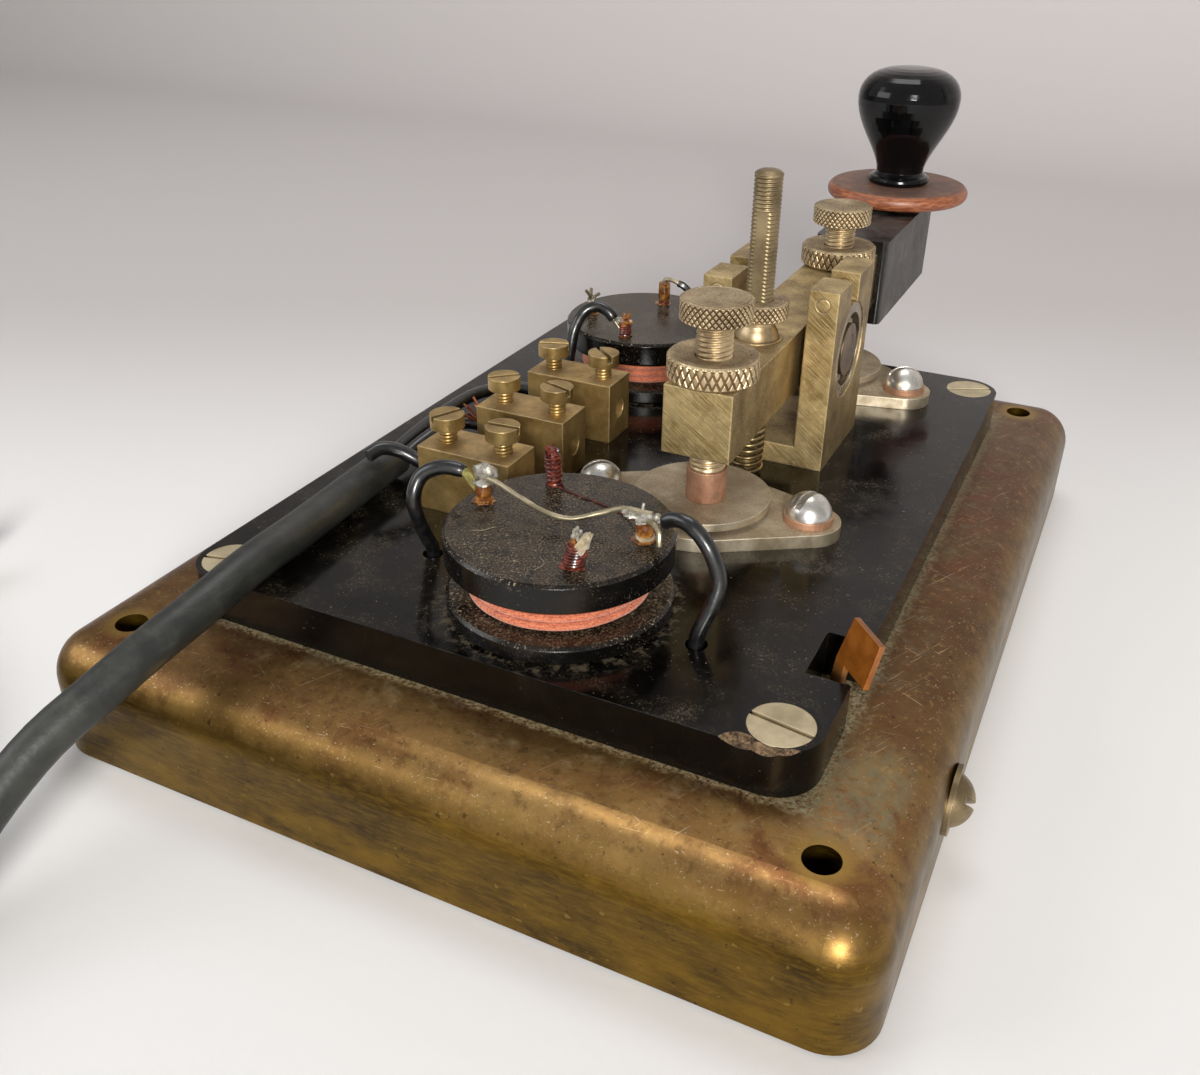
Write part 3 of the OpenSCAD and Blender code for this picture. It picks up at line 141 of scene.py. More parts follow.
class Look(Tree):
    """One procedural material. Texture coordinates are the row frame in millimetres."""

    def __init__(self, name, roughness=0.5, **constants):
        self.material = bpy.data.materials.new(name)
        self.material.use_nodes = True
        super().__init__(self.material.node_tree)
        self.tree.nodes.clear()
        self.shader = self.add("BsdfPrincipled")
        self.add("OutputMaterial", {0: self.shader.outputs[0]})
        self.shader.inputs["Roughness"].default_value = roughness
        for socket, value in constants.items():
            self.shader.inputs[socket.replace("_", " ")].default_value = value
        self.place = self.vector("SCALE", self.add("TexCoord").outputs["Object"], scale=1 / MM)
        self.facet = self.add("NewGeometry").outputs["Normal"]
        self.colour = self.height = self.normal = None

    def vector(self, operation, a, b=None, scale=None):
        node = self.add("VectorMath", {0: a, 1: b, "Scale": scale}, operation=operation)
        return node.outputs["Value" if operation in ("DOT_PRODUCT", "LENGTH") else "Vector"]

    def mapped(self, stretch=(1, 1, 1), turn=(0, 0, 0), shift=(0, 0, 0)):
        """Coordinates turned, then multiplied by stretch: a small number draws features out along that axis."""
        values = {"Vector": self.place, "Location": shift, "Rotation": [radians(a) for a in turn],
                  "Scale": [1 / k for k in stretch]}
        return self.add("Mapping", values, vector_type="TEXTURE").outputs[0]

    def noise(self, size, detail=4.0, rough=0.55, twist=0.0, **mapping):
        """Noise from 0 to 1 with features of about size millimetres. mapping is what mapped takes."""
        place = self.mapped(**mapping) if mapping else self.place
        values = {"Vector": place, "Scale": 1 / size, "Detail": detail, "Roughness": rough, "Distortion": twist}
        return self.add("TexNoise", values).outputs["Fac"]

    def band(self, value, low, high, top=1.0):
        """0 below low, top above high, smooth between."""
        values = {"Value": value, "From Min": low, "From Max": high, "To Max": top}
        return self.add("MapRange", values, interpolation_type="SMOOTHSTEP").outputs[0]

    def mix(self, share, a, b):
        """Colours mixed: a where share is 0, b where it is 1."""
        return self.add("Mix", {0: share, 6: a, 7: b}, data_type="RGBA").outputs[2]

    def blend(self, share, a, b):
        """Numbers mixed in the same way."""
        return self.add("Mix", {0: share, 2: a, 3: b}, data_type="FLOAT").outputs[0]

    def ground(self, value, a, b, *limits):
        """Starts the colour. The share of b is value, or a band of it where limits are given."""
        self.colour = self.mix(self.band(value, *limits) if limits else value, a, b)

    def paint(self, value, tone, *limits):
        """Lays a tone over the colour so far, by the same rule."""
        self.ground(value, self.colour, tone, *limits)

    def facing(self, axis):
        return self.add("SeparateXYZ", {0: self.facet}).outputs[axis]

    def along(self, axis):
        return self.add("SeparateXYZ", {0: self.place}).outputs[axis]

    def up(self, low, high):
        """Share by how far a face looks up, where an upright face counts 0 and a level one 1."""
        return self.band(self.facing(2), low, high)

    def beyond(self, value, reach):
        """How far value is beyond reach, to either side of nought."""
        return self.math("SUBTRACT", self.math("ABSOLUTE", value), reach)

    def near(self, x, y, full, none):
        """1 within full millimetres of an upright line, 0 beyond none."""
        flat = self.vector("MULTIPLY", self.vector("SUBTRACT", self.place, (x, y, 0)), (1, 1, 0))
        return self.band(self.vector("LENGTH", flat), none, full)

    def edges(self, radius):
        """Rounds the shading over sharp edges and returns where they are."""
        self.normal = self.add("Bevel", {"Radius": radius * MM}, samples=6).outputs[0]
        turn = self.vector("DOT_PRODUCT", self.normal, self.facet)
        return self.band(self.math("SUBTRACT", 1.0, turn), 0.02, 0.25)

    def raise_by(self, value, amount):
        """Adds value times amount, in millimetres, to the bump."""
        step = self.times(value, amount)
        self.height = step if self.height is None else self.math("ADD", self.height, step)

    def finish(self, roughness=None, metallic=None):
        if self.height is not None:
            values = {"Strength": 1.0, "Distance": MM, "Height": self.height, "Normal": self.normal}
            self.normal = self.add("Bump", values).outputs[0]
        self.fill(self.shader, {"Base Color": self.colour, "Roughness": roughness, "Metallic": metallic,
                                "Normal": self.normal})
        return self.material


def dust_on(look, amount, size=9.0, level=0.55, even=0.5):
    """Where dust lies: on what faces up, in patches, and in grains.
    amount runs from 0 to 1, and even is the share without grains."""
    lying = look.up(level, LEVEL)
    patches = look.band(look.noise(size, 5, 0.65), 0.62 - 0.45 * amount, 0.95 - 0.45 * amount)
    grains = look.band(look.noise(0.4, 3, 0.7), 0.46, 0.66)
    return look.times(lying, patches, look.times(look.scaled(grains, 1 - even, even), amount))


def metal(name, dark, light, rough=0.4, dust=0.4, edge=None, lines=None, dirt=None, grain=0.006,
          dusty=(128, 110, 86), edge_radius=0.3, film=0.12, pale=None, painted_side_shade=None):
    """Aged metal: two tones in patches, brushed lines, dirt in blotches, painted shade on the faces that look to
    -X, worn bright edges, dust on top. film is the share of its dull oxide skin."""
    look = Look(name, Metallic=1.0)
    tone = look.band(look.noise(7, 6, 0.62), 0.3, 0.72)
    look.ground(tone, dark, light)
    fine = look.noise(0.35, 4, 0.7)
    look.paint(fine, dark, 0.55, 0.8, 0.35)
    look.raise_by(fine, grain)
    roughness = look.scaled(look.noise(3, 4), 0.26, rough - 0.13)
    metallic = look.scaled(tone, 0.5 * film, 1 - film)
    if lines:
        turn, strength = lines
        strokes = look.noise(1, 4, 0.7, stretch=(0.09, 1.2, 9.0), turn=turn)
        deep = look.noise(1, 2, 0.5, stretch=(0.07, 0.8, 4.2), turn=(turn[0], turn[1] + 6, turn[2]))
        look.paint(strokes, pale or light, 0.5, 0.7, strength)
        look.paint(deep, dark, 0.58, 0.7, 0.7 * strength)
        look.raise_by(strokes, 0.05 * strength)
        look.raise_by(deep, -0.06 * strength)
    if dirt:
        tint, amount = dirt
        blot = look.band(look.noise(4, 6, 0.7, 0.4), 0.72 - 0.3 * amount, 0.85 - 0.15 * amount, 0.8)
        look.paint(blot, tint)
        roughness = look.blend(blot, roughness, 0.6)
        metallic = look.times(metallic, look.scaled(blot, -0.6, 1.0))
    # Painted shade: the faces that look to -X are darkened.
    if painted_side_shade:
        look.paint(look.facing(0), painted_side_shade, -0.6, -0.95, 0.45)
    if edge:
        look.paint(look.times(look.edges(edge_radius), look.band(look.noise(1.6, 5, 0.7), 0.3, 0.6)), edge)
    if dust:
        lying = dust_on(look, dust)
        look.paint(lying, dusty)
        roughness = look.blend(lying, roughness, 0.85)
        metallic = look.times(metallic, look.scaled(lying, -0.85, 1.0))
    return look.finish(roughness, metallic)


def black(name, tone=(8, 7, 6), rough=0.14, dust=0.3, dusty=(92, 80, 66), specks=0.7, shine=0.42, level=0.55,
          side=None, broken=None, even=0.5, clump=9.0, feet=(), rare=0.71):
    """Polished black ebonite with handling marks, pale specks and dust on top. side gives the faces that look
    along one axis a painted reflection in the dust's colour, feet are places with dust gathered round them, and
    broken is a chipped place, seen from above."""
    look = Look(name, rough, IOR=1.5, Specular_IOR_Level=shine)
    smear = look.noise(14, 6, 0.65, 0.6)
    look.ground(smear, tone, (24, 20, 17), 0.5, 0.85)
    roughness = look.scaled(look.band(smear, 0.3, 0.8), 0.2, rough - 0.06)
    scratch = look.noise(1, 3, 0.7, stretch=(0.05, 2.2, 1.4), turn=(0, 0, 38))
    look.paint(scratch, (70, 62, 54), 0.68, 0.8, 0.22)
    look.raise_by(look.noise(5, 3), 0.012)
    rim = look.times(look.edges(0.25), look.band(look.noise(2.5, 5, 0.7), 0.42, 0.7, 0.5))
    look.paint(rim, (96, 88, 78))
    if specks:
        up = look.up(-0.2, 0.6)
        for size, share in ((0.75, 0.8), (0.4, 1.0)):
            dots = look.band(look.noise(size, 2, 0.5), rare, rare + 0.05, specks * share)
            dots = look.times(dots, look.band(look.noise(16, 4), 0.38, 0.62), up)
            look.paint(dots, (168, 154, 130))
            roughness = look.blend(dots, roughness, 0.8)
    lying = dust_on(look, dust, clump, level, even)
    for x, y, reach in feet:
        gathered = look.band(look.noise(2.2, 5, 0.7), 0.46, 0.66, 0.6)
        ring = look.times(look.near(x, y, reach, reach + 4.5), gathered, look.up(level, LEVEL))
        lying = look.math("MAXIMUM", lying, ring)
    # side lays a painted reflection, grey in patches and in the dust's colour, on the faces that look along its
    # axis.
    if side:
        axis, sign, share = side
        sheen_faces = look.band(look.times(look.facing(axis), sign), 0.6, 0.9)
        film = look.times(sheen_faces, look.band(look.noise(6, 6, 0.7), 0.2, 0.7, share))
        lying = look.math("MAXIMUM", lying, film)
    look.paint(lying, dusty)
    roughness = look.blend(lying, roughness, 0.9)
    if broken:
        x, y, reach = broken
        crumbs = look.noise(0.9, 5, 0.75)
        raw = look.times(look.near(x, y, reach, reach + 1.5), look.up(0.985, 0.93), look.up(0.05, 0.2))
        look.paint(raw, look.mix(look.band(crumbs, 0.35, 0.65), (52, 38, 27), (142, 116, 88)))
        roughness = look.blend(raw, roughness, 0.95)
        look.raise_by(look.times(raw, crumbs), 0.5)
    return look.finish(roughness)


def wire_coat(name, tone, mark, rough=0.25, coat=0.4):
    """Sleeving, lacquer or flux: a glossy skin with uneven colour."""
    look = Look(name, rough, Coat_Weight=coat, Coat_Roughness=0.15)
    patches = look.noise(1.6, 5, 0.65, 0.5)
    look.ground(patches, tone, mark, 0.42, 0.72)
    look.raise_by(look.noise(0.9, 3), 0.03)
    return look.finish(look.scaled(patches, 0.4, rough - 0.1))


def solder_look():
    look = Look("solder", 0.3, Metallic=1.0)
    patches = look.noise(1.1, 5, 0.65)
    look.ground(patches, (116, 110, 98), (190, 186, 174), 0.3, 0.7)
    amber = look.band(look.noise(1.7, 3), 0.58, 0.72, 0.6)
    look.paint(amber, (138, 84, 30))
    look.raise_by(patches, 0.08)
    return look.finish(look.scaled(patches, 0.3, 0.34), look.scaled(amber, -0.5, 0.6))


def pan_look():
    """Brown patinated brass: dusty and red-spotted on top, smooth golden-brown walls darkened by painted shade,
    and a pale crust along the plate's foot."""
    look = Look("pan_patina", Metallic=1.0)
    up, flat = look.up(0.25, 0.9), look.up(0.8, 0.98)
    broad = look.noise(26, 7, 0.62, 0.4)
    mid = look.noise(7, 6, 0.66, 0.3, shift=(11, 5, 2))
    # Top
    look.ground(broad, (134, 99, 55), (182, 144, 86), 0.3, 0.7)
    look.paint(mid, (94, 68, 44), 0.48, 0.72, 0.6)
    # Darker towards the far side (-Y), and painted shade darkening the top towards +X, where the light falls off.
    look.paint(look.along(1), (80, 54, 31), 92.0, 40.0, 0.84)
    look.paint(look.along(0), (86, 56, 30), -25.0, 50.0, 0.6)
    look.paint(look.noise(15, 7, 0.7, 0.6, shift=(9, 70, 31)), (110, 62, 36), 0.48, 0.66, 0.7)
    mottle = look.noise(2.2, 5, 0.7, shift=(17, 9, 4))
    look.paint(mottle, (82, 56, 30), 0.52, 0.66, 0.45)
    look.paint(mottle, (180, 144, 92), 0.44, 0.32, 0.4)
    top = look.colour
    # Walls: painted shade, much darker than the top, for the dark room they reflect
    look.ground(broad, (58, 40, 8), (100, 74, 17), 0.36, 0.68)
    look.paint(mid, (46, 31, 10), 0.5, 0.76, 0.5)
    rub = look.noise(1, 5, 0.62, stretch=(0.05, 0.05, 0.16), shift=(7, 3, 1))
    low_gold = look.band(look.along(2), 15.0, 3.0, 0.55)
    look.paint(look.times(look.band(rub, 0.36, 0.66), look.math("ADD", low_gold, 0.25)), (130, 100, 25))
    brush = look.noise(1, 4, 0.7, stretch=(0.3, 0.3, 2.0), shift=(4, 12, 6))
    look.paint(brush, (136, 106, 36), 0.42, 0.66, 0.34)
    look.paint(up, top)
    # Worn shoulders, grey film, scratches, motes and pits
    shoulder = look.times(look.up(0.2, 0.5), look.up(LEVEL, 0.7))
    look.paint(look.times(shoulder, look.band(look.noise(5, 6, 0.7), 0.35, 0.68, 0.8)), (134, 104, 52))
    grey = look.band(look.noise(11, 6, 0.7, shift=(3, 41, 8)), 0.56, 0.74, 0.4)
    look.paint(look.times(grey, up), (132, 112, 80))
    fine = look.noise(0.6, 5, 0.7)
    look.paint(fine, (62, 44, 26), 0.56, 0.76, 0.4)
    for turn, least in ((63, 0.665), (-28, 0.68), (8, 0.685)):
        scratch = look.noise(1, 3, 0.6, stretch=(0.1, 3.6, 3.6), turn=(0, 0, turn))
        look.paint(look.times(look.band(scratch, least, least + 0.04, 0.6), up), (214, 188, 146))
    motes = look.band(look.noise(0.5, 2, 0.5, shift=(2, 8, 5)), 0.68, 0.73, 0.7)
    look.paint(look.times(motes, up), (206, 192, 164))
    look.paint(look.noise(1.8, 3, 0.5, shift=(80, 3, 9)), (168, 138, 72), 0.67, 0.73, 0.35)
    look.paint(look.noise(1.3, 3, 0.5, shift=(5, 33, 19)), (48, 34, 22), 0.67, 0.72, 0.6)
    # Crust and green bloom, by the distance outside the plate's outline
    out_x = look.beyond(look.along(0), PLATE_HALF[0])
    out_y = look.beyond(look.math("ADD", look.along(1), PLATE_BACK), PLATE_HALF[1])
    away = look.math("MAXIMUM", out_x, out_y)
    wavy = look.math("SUBTRACT", away, look.times(look.noise(4, 5, 0.7), 4.2))
    foot = look.times(look.band(wavy, 0.2, -1.8), flat)
    crust = look.times(foot, look.band(look.noise(0.7, 4, 0.75), 0.36, 0.6, 0.85))
    look.paint(crust, (150, 140, 108))
    bloom = look.times(look.band(away, 13, 3), look.band(look.noise(8, 6, 0.7, shift=(0, 31, 0)), 0.5, 0.68, 0.6))
    bloom = look.math("MAXIMUM", bloom, look.times(look.near(-70, 74, 5, 18), 0.6))
    bloom = look.times(bloom, flat, look.band(look.noise(2.4, 5, 0.75), 0.34, 0.6))
    look.paint(bloom, (118, 118, 92))
    # Bright rings round the holes, then dust
    across, along = (look.beyond(look.along(axis), half) for axis, half in enumerate(HOLES_HALF))
    from_hole = look.math("SQRT", look.math("ADD", look.times(across, across), look.times(along, along)))
    look.paint(look.times(look.band(from_hole, 6.4, 3.3, 0.7), flat), (156, 124, 58))
    lying = dust_on(look, 0.3, 20)
    look.paint(lying, (128, 104, 72))
    dull = look.math("MAXIMUM", look.math("MAXIMUM", crust, lying), look.times(bloom, 0.7))
    look.raise_by(fine, 0.01)
    look.raise_by(look.noise(60, 3), 0.5)
    look.raise_by(crust, 0.1)
    return look.finish(look.blend(dull, look.scaled(mid, 0.3, 0.2), 0.85), look.scaled(dull, -0.8, 0.86))


def winding_look():
    """Cotton-covered wire: salmon, with the cover's fine slanting threads."""
    look = Look("cotton_cover", 0.85, Sheen_Weight=0.3, Sheen_Roughness=0.5)
    threads = look.noise(0.8, 3, 0.6, stretch=(1, 1, 2.6), turn=(28, 24, 0))
    fibres = look.noise(0.3, 4, 0.75)
    look.ground(fibres, (176, 86, 56), (230, 142, 104), 0.3, 0.7)
    look.paint(look.noise(5, 4), (132, 66, 46), 0.5, 0.75, 0.5)
    look.paint(look.noise(0.9, 4, 0.7), (232, 160, 126), 0.6, 0.78, 0.6)
    look.paint(threads, (146, 66, 42), 0.5, 0.62, 0.55)
    look.raise_by(threads, 0.3)
    look.raise_by(fibres, 0.1)
    return look.finish()


def fibre_look():
    """Red-brown pressed fibre: grain on the rim, grey dust on the faces."""
    look = Look("pressed_fibre", 0.42, Coat_Weight=0.15, Coat_Roughness=0.3)
    grain = look.noise(1, 5, 0.65, stretch=(0.35, 0.35, 2.6))
    look.ground(grain, (112, 58, 34), (168, 104, 66), 0.35, 0.68)
    look.paint(look.noise(4, 5, 0.6), (92, 44, 26), 0.5, 0.75, 0.6)
    film = look.times(look.up(0.8, LEVEL), look.band(look.noise(6, 6, 0.7), 0.15, 0.6, 0.85))
    look.paint(film, (94, 76, 66))
    look.raise_by(grain, 0.03)
    return look.finish(look.blend(film, look.scaled(grain, 0.3, 0.3), 0.8))


def rubber_look():
    """Tough rubber sheath: dark grey-green, rubbed paler along its length, with a soft sheen."""
    look = Look("rubber_sheath", 0.42, Specular_IOR_Level=0.5)
    rub = look.noise(9, 6, 0.6, 0.3)
    look.ground(rub, (30, 32, 30), (52, 53, 48), 0.35, 0.75)
    lines = look.noise(1, 4, 0.7, stretch=(1.6, 0.05, 1.6), turn=(0, 0, -8))
    look.paint(lines, (68, 68, 61), 0.58, 0.75, 0.45)
    lying = look.times(look.up(0.3, 0.95), look.band(look.noise(5, 5, 0.7), 0.45, 0.75, 0.35))
    look.paint(lying, (92, 89, 80))
    look.raise_by(lines, 0.05)
    look.raise_by(look.noise(1.2, 4), 0.05)
    return look.finish(look.scaled(rub, 0.3, 0.28))


def tab_look():
    """Varnished amber sheet: worn along its edges, darker towards its foot."""
    look = Look("varnished_sheet", 0.4, Coat_Weight=0.12, Coat_Roughness=0.25)
    clouds = look.noise(4, 5, 0.6)
    look.ground(clouds, (118, 64, 14), (148, 87, 26), 0.3, 0.7)
    worn = look.times(look.edges(0.25), look.band(look.noise(1.2, 4), 0.35, 0.6))
    look.paint(worn, (190, 132, 66))
    # Darker towards the foot.
    look.paint(look.times(look.band(look.along(2), 33.4, 31.0), 0.7), (96, 66, 34))
    look.raise_by(look.noise(0.8, 3), 0.02)
    return look.finish(look.scaled(clouds, 0.3, 0.25))


def lint_look():
    look = Look("lint", 0.9, Sheen_Weight=0.3)
    look.ground(look.noise(1.2, 4), (128, 114, 88), (184, 170, 138), 0.3, 0.7)
    return look.finish()


DIAGONAL, LENGTHWISE, UPRIGHT = (0, -40, 0), (0, 0, 84), (0, 82, 0)
EDGE_BRIGHT = (222, 206, 168)
LOOKS = {
    "pan": pan_look(),
    "plate": black("plate_ebonite", dust=0.42, even=0.12, specks=0.9, shine=0.26, dusty=(120, 108, 88),
        broken=(-55.2, 83, 8), feet=((-7.9, 58.7, 20.4), (23.5, -48.5, 20.4))),
    "bobbin": black("bobbin_ebonite", dust=0.8, rough=0.2, specks=1.0, dusty=(130, 112, 88), level=0.6, even=0.1,
        clump=3.2, rare=0.64, shine=0.32),
    # The handle block's faces that look to -X get a painted reflection through side.
    "block": black("block_ebonite", dust=0.6, rough=0.26, specks=0.3, side=(0, -1, 0.4), dusty=(108, 101, 94)),
    "knob": black("knob_ebonite", tone=(5, 5, 6), dust=0.0, rough=0.1, specks=0.0, shine=0.3),
    # The brass carries painted shade on its faces that look to -X.
    "brass": metal("brushed_brass", (132, 108, 60), (216, 190, 134), 0.44, 0.75, EDGE_BRIGHT, (DIAGONAL, 0.8),
        ((98, 70, 34), 0.5), 0.012, edge_radius=0.45, film=0.18, pale=(232, 216, 176),
        painted_side_shade=(92, 66, 32)),
    "block_brass": metal("terminal_brass", (142, 113, 62), (212, 180, 118), 0.42, 0.75, EDGE_BRIGHT,
        (LENGTHWISE, 0.4), ((98, 76, 40), 0.45), 0.012, edge_radius=0.4, film=0.18),
    "screw_brass": metal("screw_brass", (130, 104, 58), (192, 164, 106), dust=0.55, edge=EDGE_BRIGHT,
        dirt=((84, 60, 30), 0.3), film=0.2),
    "rod": metal("rod_brass", (106, 90, 64), (164, 146, 112), 0.44, 0.3, EDGE_BRIGHT, dirt=((78, 60, 38), 0.35),
        edge_radius=0.15, film=0.25),
    "knurled": metal("knurled_metal", (144, 122, 90), (224, 202, 162), 0.4, 0.9, (238, 226, 198),
        dirt=((84, 66, 42), 0.35), dusty=(88, 72, 53), edge_radius=0.14, film=0.15),
    # Painted shade: the knurls' groove faces take this darker look.
    "groove": metal("knurl_groove_shade", (70, 54, 35), (136, 111, 79), 0.5, 0.0, film=0.5),
    "nickel": metal("worn_nickel", (158, 142, 114), (226, 214, 188), 0.4, 0.95, (240, 232, 212),
        dirt=((104, 86, 62), 0.35), grain=0.012, dusty=(134, 114, 88), film=0.2),
    "plate_screw": metal("plate_screw_metal", (160, 146, 116), (216, 202, 168), 0.4, 0.7, EDGE_BRIGHT,
        dirt=((104, 88, 62), 0.3), dusty=(180, 166, 136), film=0.4),
    "steel": metal("bright_steel", (188, 184, 174), (244, 242, 236), 0.3, 0.3, (240, 238, 232),
        dirt=((92, 74, 54), 0.35), grain=0.012, film=0.1),
    "race": metal("race_steel", (116, 102, 82), (182, 168, 142), 0.3, 0.2, (214, 204, 184),
        dirt=((84, 58, 38), 0.5)),
    "axle": metal("axle_steel", (74, 56, 40), (128, 106, 80), 0.42, 0.2, (176, 156, 124),
        dirt=((58, 38, 24), 0.5), film=0.25),
    "copper": metal("dull_copper", (150, 106, 82), (206, 162, 130), 0.5, 0.4, (190, 156, 130), (UPRIGHT, 0.7),
        ((72, 44, 34), 0.55), 0.02, film=0.4),
    "bare_copper": metal("bare_copper", (142, 70, 42), (212, 132, 92), 0.34, 0.0),
    "tin": metal("tinned_wire", (116, 106, 82), (190, 178, 150), 0.4, 0.1, dirt=((120, 92, 50), 0.3), film=0.25),
    "spring": metal("spring_wire", (112, 94, 62), (196, 176, 130), 0.34, 0.1, film=0.2),
    "solder": solder_look(),
    "flux": wire_coat("amber_flux", (92, 50, 16), (178, 122, 54)),
    "lacquer": wire_coat("red_lacquer", (56, 14, 9), (140, 56, 28)),
    "sleeve": wire_coat("black_sleeve", (9, 9, 10), (30, 29, 28)),
    "frayed": wire_coat("frayed_cotton", (104, 98, 48), (172, 162, 96), 0.8, 0.0),
    "lint": lint_look(),
    "silk": winding_look(),
    "fibre": fibre_look(),
    "rubber": rubber_look(),
    "amber": tab_look(),
}

TERMINAL_BLOCKS = ["terminal_block_rear", "terminal_block_middle", "terminal_block_front"]
NODE_LOOKS = {
    "pan": ["base_pan"],
    "plate": ["ebonite_plate"],
    "bobbin": ["rear_coil_bobbin", "front_coil_bobbin"],
    "block": ["handle_block"],
    "knob": ["knob", "plug_body"],
    "brass": ["trunnion", "lever_bar", "clamp_screws", "spring_anchor", "tension_seat"],
    "block_brass": TERMINAL_BLOCKS,
    "screw_brass": ["terminal_screws", "plug_pin"],
    "nickel": ["rear_contact_plate", "front_contact_plate", "rear_contact_disc", "front_contact_disc"],
    "rod": ["side_washer", "side_screw"],
    "plate_screw": ["plate_screws"],
    "steel": ["contact_plate_screws", "trunnion_screws", "terminal_fixing_screws", "coil_fixing_screws",
        "handle_screws", "knob_bolt"],
    "race": ["outer_races", "bearing_balls"],
    "axle": ["inner_races", "lever_axle"],
    "copper": ["contact_plate_washers", "rear_contact_tip", "front_contact_tip"],
    "fibre": ["knob_skirt"],
    "amber": ["edge_tab"],
}
for look_name, members in NODE_LOOKS.items():
    for member in members:
        nodes[member].data.materials.clear()
        nodes[member].data.materials.append(LOOKS[look_name])


# Mesh tools. Rings are lists of points in millimetres, all of one length.

def centre_of(node):
    low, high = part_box(node)
    return (low + high) / 2 / MM


def span_of(node):
    low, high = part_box(node)
    return low.z / MM, high.z / MM


def ring_at(x, y, radii, z):
    """Ring round an upright line, with one radius for each point."""
    turns = [TAU * k / len(radii) for k in range(len(radii))]
    return [(x + r * cos(a), y + r * sin(a), z) for r, a in zip(radii, turns)]


def turned(x, y, outline, sides):
    """Rings of an outline of (radius, height) turned about an upright line."""
    return [ring_at(x, y, [r] * sides, z) for r, z in outline]


class Mesh:
    """Collects points and faces of one piece. A face's mark is the number of its look."""

    def __init__(self):
        self.points, self.faces, self.marks = [], [], []

    def loft(self, rings, closed=False, mark=0):
        """Faces between rings that follow each other; closed joins the last ring to the first."""
        start, n = len(self.points), len(rings[0])
        self.points += [tuple(p) for ring in rings for p in ring]
        before, last = len(self.faces), start + (len(rings) - 1) * n
        for i in range(len(rings) if closed else len(rings) - 1):
            a, b = start + i * n, start + (i + 1) % len(rings) * n
            for k in range(n):
                j = (k + 1) % n
                self.faces.append((a + k, a + j, b + j, b + k))
        if not closed:
            self.faces += [tuple(start + k for k in reversed(range(n))), tuple(last + k for k in range(n))]
        self.marks += [mark] * (len(self.faces) - before)
        return self

    def tube(self, line, radius, sides=10, mark=0):
        """Round tube along points; radius is a number or one number for each point."""
        line = [Vector(p) for p in line]
        radii = radius if isinstance(radius, list) else [radius] * len(line)
        last = len(line) - 1
        tangents = [(line[min(i + 1, last)] - line[max(i - 1, 0)]).normalized() for i in range(len(line))]
        first = Vector((0, 0, 1)) if abs(tangents[0].z) < 0.9 else Vector((1, 0, 0))
        side = (first - tangents[0] * first.dot(tangents[0])).normalized()
        turns = [TAU * k / sides for k in range(sides)]
        rings = []
        for p, t, r in zip(line, tangents, radii):
            side = (side - t * side.dot(t)).normalized()
            other = t.cross(side)
            rings.append([p + r * (side * cos(a) + other * sin(a)) for a in turns])
        return self.loft(rings, mark=mark)

    def lathe(self, outline, centre, sides, closed=False, mark=0):
        return self.loft(turned(centre[0], centre[1], outline, sides), closed, mark)

    def blob(self, centre, radii, seed, rough, mark=0, lean=(0, 0)):
        """Uneven rounded lump, such as solder. lean is the sideways shift for each millimetre of height."""
        rows, sides = 10, 16
        rings = []
        for i in range(1, rows):
            a = pi * i / rows - pi / 2
            ring = []
            for k in range(sides):
                b = TAU * k / sides
                d = Vector((cos(a) * cos(b), cos(a) * sin(b), sin(a)))
                swell = 1 + rough * noise.noise(d * 1.6 + Vector((seed, seed * 2.3, 0)))
                x, y, z = (radii[q] * d[q] * swell for q in range(3))
                ring.append((centre[0] + x + lean[0] * z, centre[1] + y + lean[1] * z, centre[2] + z))
            rings.append(ring)
        return self.loft(rings, mark=mark)

    def piece(self, name, looks, body, slot, replaces=(), sharp=38):
        mesh = bpy.data.meshes.new(name)
        mesh.from_pydata([Vector(p) * MM for p in self.points], [], self.faces)
        for look in looks:
            mesh.materials.append(LOOKS[look])
        mesh.polygons.foreach_set("material_index", self.marks)
        mesh.polygons.foreach_set("use_smooth", [True] * len(mesh.polygons))
        mesh.set_sharp_from_angle(angle=radians(sharp))
        mesh.update()
        item = link(name, mesh)
        if body:
            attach(item, body)
        if replaces:
            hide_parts(*replaces)
        return item


def smooth_line(points, step):
    """Catmull-Rom curve through the points, sampled about every step millimetres."""
    p = [Vector(q) for q in points]
    p = [2 * p[0] - p[1]] + p + [2 * p[-1] - p[-2]]
    line = []
    for a, b, c, d in zip(p, p[1:], p[2:], p[3:]):
        n = max(1, round((c - b).length / step))
        square, cube = 2 * a - 5 * b + 4 * c - d, 3 * b - a - 3 * c + d
        for t in (i / n for i in range(n)):
            line.append(0.5 * (2 * b + (c - a) * t + square * t * t + cube * t ** 3))
    return line + [p[-2]]


def ridge(t):
    """1 at whole numbers, 0 half way between."""
    return abs(2 * (t % 1) - 1)


# Cord: the route in part.scad, from the sheath's end over the base's rear edge to the coil and its plug

PLATE_TOP = span_of("ebonite_plate")[1]
CABLE_D, CABLE_STEP = 7.6, 3.5
COIL_R, COIL_STEP, COIL_TURNS, LOOP_RINGS, CLIMB_DIP = 47, 8.2, 2, 24, 1.8
CABLE_ROUTE = [
    (47.5, 31, PLATE_TOP + 4.4), (47, 48, PLATE_TOP + 4), (46, 65, PLATE_TOP + 4), (45.5, 80, PLATE_TOP + 4),
    (45.5, 92, PLATE_TOP + 2.6), (47, 104, PLATE_TOP + 0.2), (49.5, 114, 29.6), (52.5, 123, 25.5), (54.5, 132, 20),
    (55, 141, 14.5), (55, 150, 9.8), (55, 159, 6.6), (55, 168, 5.2), (55, 178, 4.8),
]
COIL_MIDDLE = Vector(CABLE_ROUTE[-1]) + Vector((COIL_R, 0, 0))
TAIL_DROP = [(8, 0.4), (16, 2), (24, 4), (32, 4.8), (40, 5)]
TIE_TURN, TIE_INNER, TIE_OUTER = radians(-80), 26.9, 46.3
TIE_CORNER, TIE_HALF_WIDTH, TIE_HALF_THICK = 2.4, 2.7, 0.35


